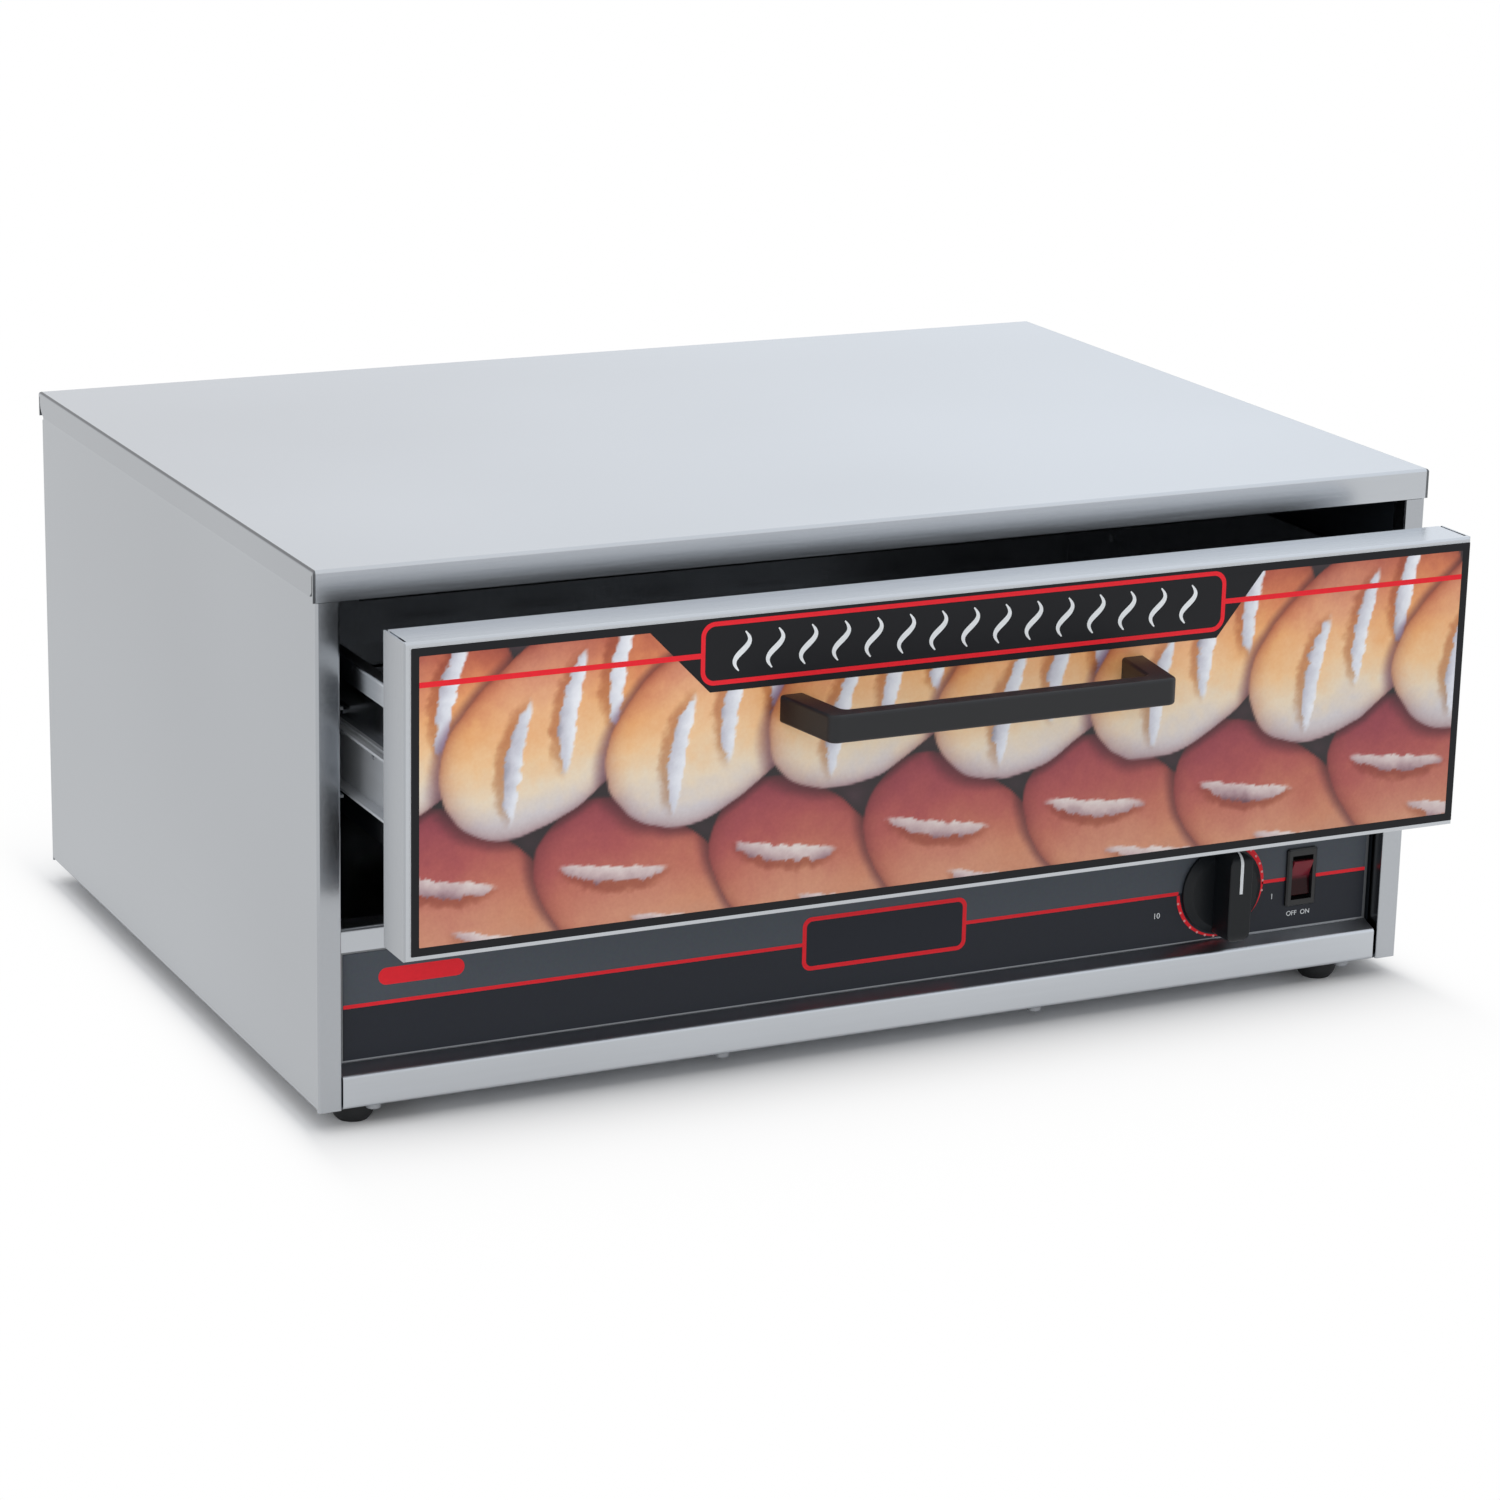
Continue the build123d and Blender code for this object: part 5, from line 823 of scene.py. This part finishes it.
class Slides(bpy.types.Operator):
    """Zinc-plated slide members, ball cages and balls"""

    bl_idname = "bun_warmer.slides"
    bl_label = "Slides"

    def execute(self, context):
        # Rolled strip with bright zinc: a pale grey, half metal and half haze, with soft lengthwise blotches.
        zinc = mottled("zinc_plated_strip", linear("A9ADB2"), linear("C6CACF"), 6 * MM, (1, 0.1, 1),
                       roughness=(0.36, 0.48), Metallic=0.55)
        sides = ("left", "right")
        dress(zinc, *[f"{side}_slide_{part}" for side in sides for part in ("outer", "middle", "inner")])
        # Polished chrome steel: bright, with sharp highlights on the balls.
        bearing = mottled("polished_bearing_steel", linear("B9BBBE"), linear("C9CBCE"), 3 * MM,
                          roughness=(0.12, 0.2), Metallic=1.0)
        dress(bearing, *[f"{side}_{part}_cage" for side in sides for part in ("outer", "inner")])
        return {"FINISHED"}


class Fasteners(bpy.types.Operator):
    """Screws, shaft and element terminals"""

    bl_idname = "bun_warmer.fasteners"
    bl_label = "Screws and shaft"

    def execute(self, context):
        # Nickel-plated steel: a slightly warm bright metal.
        nickel = mottled("nickel_plated_steel", linear("C9CACB"), linear("E2E3E3"), 2 * MM,
                         roughness=(0.18, 0.28), Metallic=1.0)
        dress(nickel, "cabinet_slide_screws", "drawer_slide_screws", "thermostat_screws", "back_screws",
              "handle_screws", "tub_screws", "element_terminals", "thermostat_shaft")
        # Zinc-plated steel of the screws under the base: greyer and duller.
        dress(mottled("zinc_plated_steel", linear("8E9196"), linear("A6A9AD"), 2 * MM, roughness=(0.42, 0.52),
                      Metallic=0.6), "base_screws", "foot_screws")
        return {"FINISHED"}


class HeatingParts(bpy.types.Operator):
    """Heating element, ceramics, insulation, bulb and wiring"""

    bl_idname = "bun_warmer.heating_parts"
    bl_label = "Heating parts"

    def execute(self, context):
        # Oxidised nickel-alloy tube: dark grey with brown and blue heat bands.
        dress(mottled("oxidised_nickel_sheath", linear("4A403A"), linear("6A6E74"), 40 * MM,
                      roughness=(0.36, 0.46), Metallic=1.0), "heating_element")
        # Unglazed steatite: chalky cream with a fine grain.
        dress(mottled("unglazed_steatite", linear("D8D2C4"), linear("ECE7DC"), 1 * MM, roughness=(0.75, 0.85),
                      relief=0.2), "element_ceramics", "terminal_block")
        # Needled mineral wool: matted yellow-brown fibres.
        dress(mottled("needled_mineral_wool", linear("9C8A55"), linear("D8CC98"), 3 * MM, (1, 0.2, 1), 4.0,
                      (0.9, 1.0), 0.6), "top_insulation")
        # Drawn copper tube, a little tarnished.
        dress(mottled("drawn_copper_tube", linear("9A5A3C"), linear("C98560"), 10 * MM, roughness=(0.3, 0.4),
                      Metallic=1.0), "thermostat_bulb")
        dress(moulded("moulded_brown_phenolic", linear("26221F"), 0.5, 1 * MM), "thermostat_body")
        dress(moulded("moulded_nylon_bushing", linear("161616"), 0.45, 0.8 * MM), "cord_bushing")
        # Silicone wire cover: off-white and soft, with a dusty bloom.
        dress(mottled("silicone_wire_cover", linear("BDB8AB"), linear("D2CDC2"), 1 * MM,
                      roughness=(0.55, 0.65)), "wiring")
        return {"FINISHED"}


class Stage(bpy.types.Operator):
    """Floor, lamps, world and camera"""

    bl_idname = "bun_warmer.stage"
    bl_label = "Stage"

    def execute(self, context):
        finish = sizes("stage")
        context.scene.view_settings.view_transform = "Standard"
        self.floor(finish)
        self.world(context.scene, finish.ambient)
        self.lamp("overhead_lamp", finish.key, 2.6, (-0.3, -0.2, 2.6))
        self.lamp("side_lamp", finish.side, 1.8, (-2.4, -0.4, 1.4))
        self.lamp("front_lamp", finish.front, 1.8, (-1.4, -2.9, 0.95))
        self.camera(context.scene, finish)
        return {"FINISHED"}

    def floor(self, finish):
        """A paper floor that is grey near the object, where it keeps the shadow, and turns to white away from
        it: the grey share is exp(-distance / spread), with the distance outside the object's footprint."""
        reach = 6.0
        mesh = bpy.data.meshes.new("paper_floor")
        mesh.from_pydata([(-reach, -reach, 0), (reach, -reach, 0), (reach, reach, 0), (-reach, reach, 0)], [],
                         [(0, 1, 2, 3)])
        material, tree, shader = new_material("white_paper", Base_Color=finish.paper, Roughness=0.9)
        low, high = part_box("top_cover")
        middle, half = (low + high) / 2, (high - low) / 2
        footprint = (half.x, half.y - finish.paper_under, 0)
        place = add_node(tree, "ShaderNodeTexCoord")
        moved = add_node(tree, "ShaderNodeMapping",
                         {"Vector": place.outputs["Object"], "Location": (-middle.x, -middle.y, 0)})
        folded = add_node(tree, "ShaderNodeVectorMath", {0: moved}, operation="ABSOLUTE")
        past = add_node(tree, "ShaderNodeVectorMath", {0: folded, 1: footprint}, operation="SUBTRACT")
        outside = add_node(tree, "ShaderNodeVectorMath", {0: past, 1: (0, 0, 0)}, operation="MAXIMUM")
        weighed = add_node(tree, "ShaderNodeMapping",
                           {"Vector": outside, "Scale": (finish.paper_aside, 1, 1)})
        distance = add_node(tree, "ShaderNodeVectorMath", {0: weighed}, operation="LENGTH")
        fall = add_node(tree, "ShaderNodeMath", {0: distance.outputs["Value"], 1: -1 / finish.paper_spread},
                        operation="MULTIPLY")
        grey = add_node(tree, "ShaderNodeMath", {0: fall}, operation="EXPONENT")
        white = add_node(tree, "ShaderNodeMath", {0: 1.0, 1: grey}, operation="SUBTRACT")
        path, watched = self.watched(tree)
        seen = add_node(tree, "ShaderNodeMath", {0: white, 1: watched}, operation="MULTIPLY")
        strength = add_node(tree, "ShaderNodeMapRange", {"Value": path.outputs["Is Glossy Ray"],
                                                         "To Min": 1.0, "To Max": finish.mirrored})
        glow = add_node(tree, "ShaderNodeEmission", {"Color": (1, 1, 1, 1), "Strength": strength})
        both = add_node(tree, "ShaderNodeMixShader", {0: seen, 1: shader, 2: glow})
        output = next(node for node in tree.nodes if node.type == "OUTPUT_MATERIAL")
        feed(tree, output, {"Surface": both})
        mesh.materials.append(material)
        floor = bpy.data.objects.new("paper_floor", mesh)
        bpy.context.scene.collection.objects.link(floor)

    def watched(self, tree):
        """The light path, and a value that is one for rays of the camera and of reflections, else zero."""
        path = add_node(tree, "ShaderNodeLightPath")
        return path, add_node(tree, "ShaderNodeMath", {0: path.outputs["Is Camera Ray"],
                                                       1: path.outputs["Is Glossy Ray"]}, operation="MAXIMUM")

    def world(self, scene, ambient):
        """White where the camera looks at it, and a softer light elsewhere. Metal sees it white too, a little
        darker and warmer towards the left, with a soft change between two directions on the right."""
        left, right = (0.89, 0.89, 0.9, 1), (1.02, 1.06, 1.11, 1)
        change_from, change_to = 0.27, 0.5
        world = bpy.data.worlds.new("studio")
        scene.world = world
        world.use_nodes = True
        tree = world.node_tree
        tree.nodes.clear()
        direction = add_node(tree, "ShaderNodeTexCoord")
        axes = add_node(tree, "ShaderNodeSeparateXYZ", {0: direction.outputs["Generated"]})
        across = add_node(tree, "ShaderNodeMapRange",
                          {"Value": axes.outputs["X"], "From Min": change_from, "From Max": change_to})
        studio = add_node(tree, "ShaderNodeMix", {"Factor": across, "A": left, "B": right}, data_type="RGBA")
        path, watched = self.watched(tree)
        mirrored = add_node(tree, "ShaderNodeMix",
                            {"Factor": path.outputs["Is Glossy Ray"], "A": (1, 1, 1, 1),
                             "B": studio.outputs["Result"]}, data_type="RGBA")
        strength = add_node(tree, "ShaderNodeMapRange", {"Value": watched, "To Min": ambient})
        background = add_node(tree, "ShaderNodeBackground",
                              {"Color": mirrored.outputs["Result"], "Strength": strength})
        add_node(tree, "ShaderNodeOutputWorld", {"Surface": background})

    def lamp(self, name, watts, size, place):
        """A square soft box that looks at the object's middle and that metal doesn't mirror."""
        middle = Vector((0, 0, 0.12))
        data = bpy.data.lights.new(name, "AREA")
        data.energy = watts
        data.size = size
        lamp = bpy.data.objects.new(name, data)
        bpy.context.scene.collection.objects.link(lamp)
        lamp.location = place
        lamp.visible_glossy = False
        lamp.rotation_mode = "QUATERNION"
        lamp.rotation_quaternion = (middle - Vector(place)).to_track_quat("-Z", "Y")

    def camera(self, scene, finish):
        """The camera looks along its azimuth and elevation and is rolled about that line."""
        sin_a, cos_a = math.sin(finish.azimuth), math.cos(finish.azimuth)
        sin_e, cos_e = math.sin(finish.elevation), math.cos(finish.elevation)
        back = Vector((sin_a * cos_e, -cos_a * cos_e, sin_e))
        right = Vector((0, 0, 1)).cross(back).normalized()
        up = back.cross(right)
        right_rolled = right * math.cos(finish.roll) + up * math.sin(finish.roll)
        up_rolled = up * math.cos(finish.roll) - right * math.sin(finish.roll)
        data = bpy.data.cameras.new("photo_camera")
        data.lens = finish.lens
        data.sensor_width = 36
        data.clip_start, data.clip_end = 0.05, 50
        camera = bpy.data.objects.new("photo_camera", data)
        turn = Matrix((right_rolled, up_rolled, back)).transposed().to_4x4()
        camera.matrix_world = Matrix.Translation(finish.eye) @ turn
        scene.collection.objects.link(camera)
        scene.camera = camera


class BunWarmerPanel(bpy.types.Panel):
    """Lists the operators and their sizes"""

    bl_idname = "VIEW3D_PT_bun_warmer"
    bl_label = "Bun warmer"
    bl_space_type = "VIEW_3D"
    bl_region_type = "UI"
    bl_category = "Bun warmer"

    def draw(self, context):
        for operator in OPERATORS:
            self.layout.operator(operator.bl_idname)
        for name in GROUPS:
            group = sizes(name)
            box = self.layout.box()
            for key in group.__annotations__:
                box.prop(group, key)


GROUPS = {"sheet": SheetFinish, "print": PrintFinish, "plastic": PlasticFinish, "stage": StageFinish}
OPERATORS = [StainlessSheets, PaintedLiner, ControlFilm, PicturePanel, BlackHandle, Knob, RockerSwitch,
             RubberFeet, Slides, Fasteners, HeatingParts, Stage]


def register():
    """Registers the classes and hangs the property groups on the scene."""
    for item in [*GROUPS.values(), *OPERATORS, BunWarmerPanel]:
        bpy.utils.register_class(item)
    for name, group in GROUPS.items():
        setattr(bpy.types.Scene, "bun_warmer_" + name, PointerProperty(type=group))


def unregister():
    """Takes the property groups and the classes away again."""
    for name in GROUPS:
        delattr(bpy.types.Scene, "bun_warmer_" + name)
    for item in reversed([*GROUPS.values(), *OPERATORS, BunWarmerPanel]):
        bpy.utils.unregister_class(item)


def main():
    """Makes everything in order."""
    register()
    for operator in OPERATORS:
        group, name = operator.bl_idname.split(".")
        getattr(getattr(bpy.ops, group), name)()


if __name__ == "__main__":
    main()
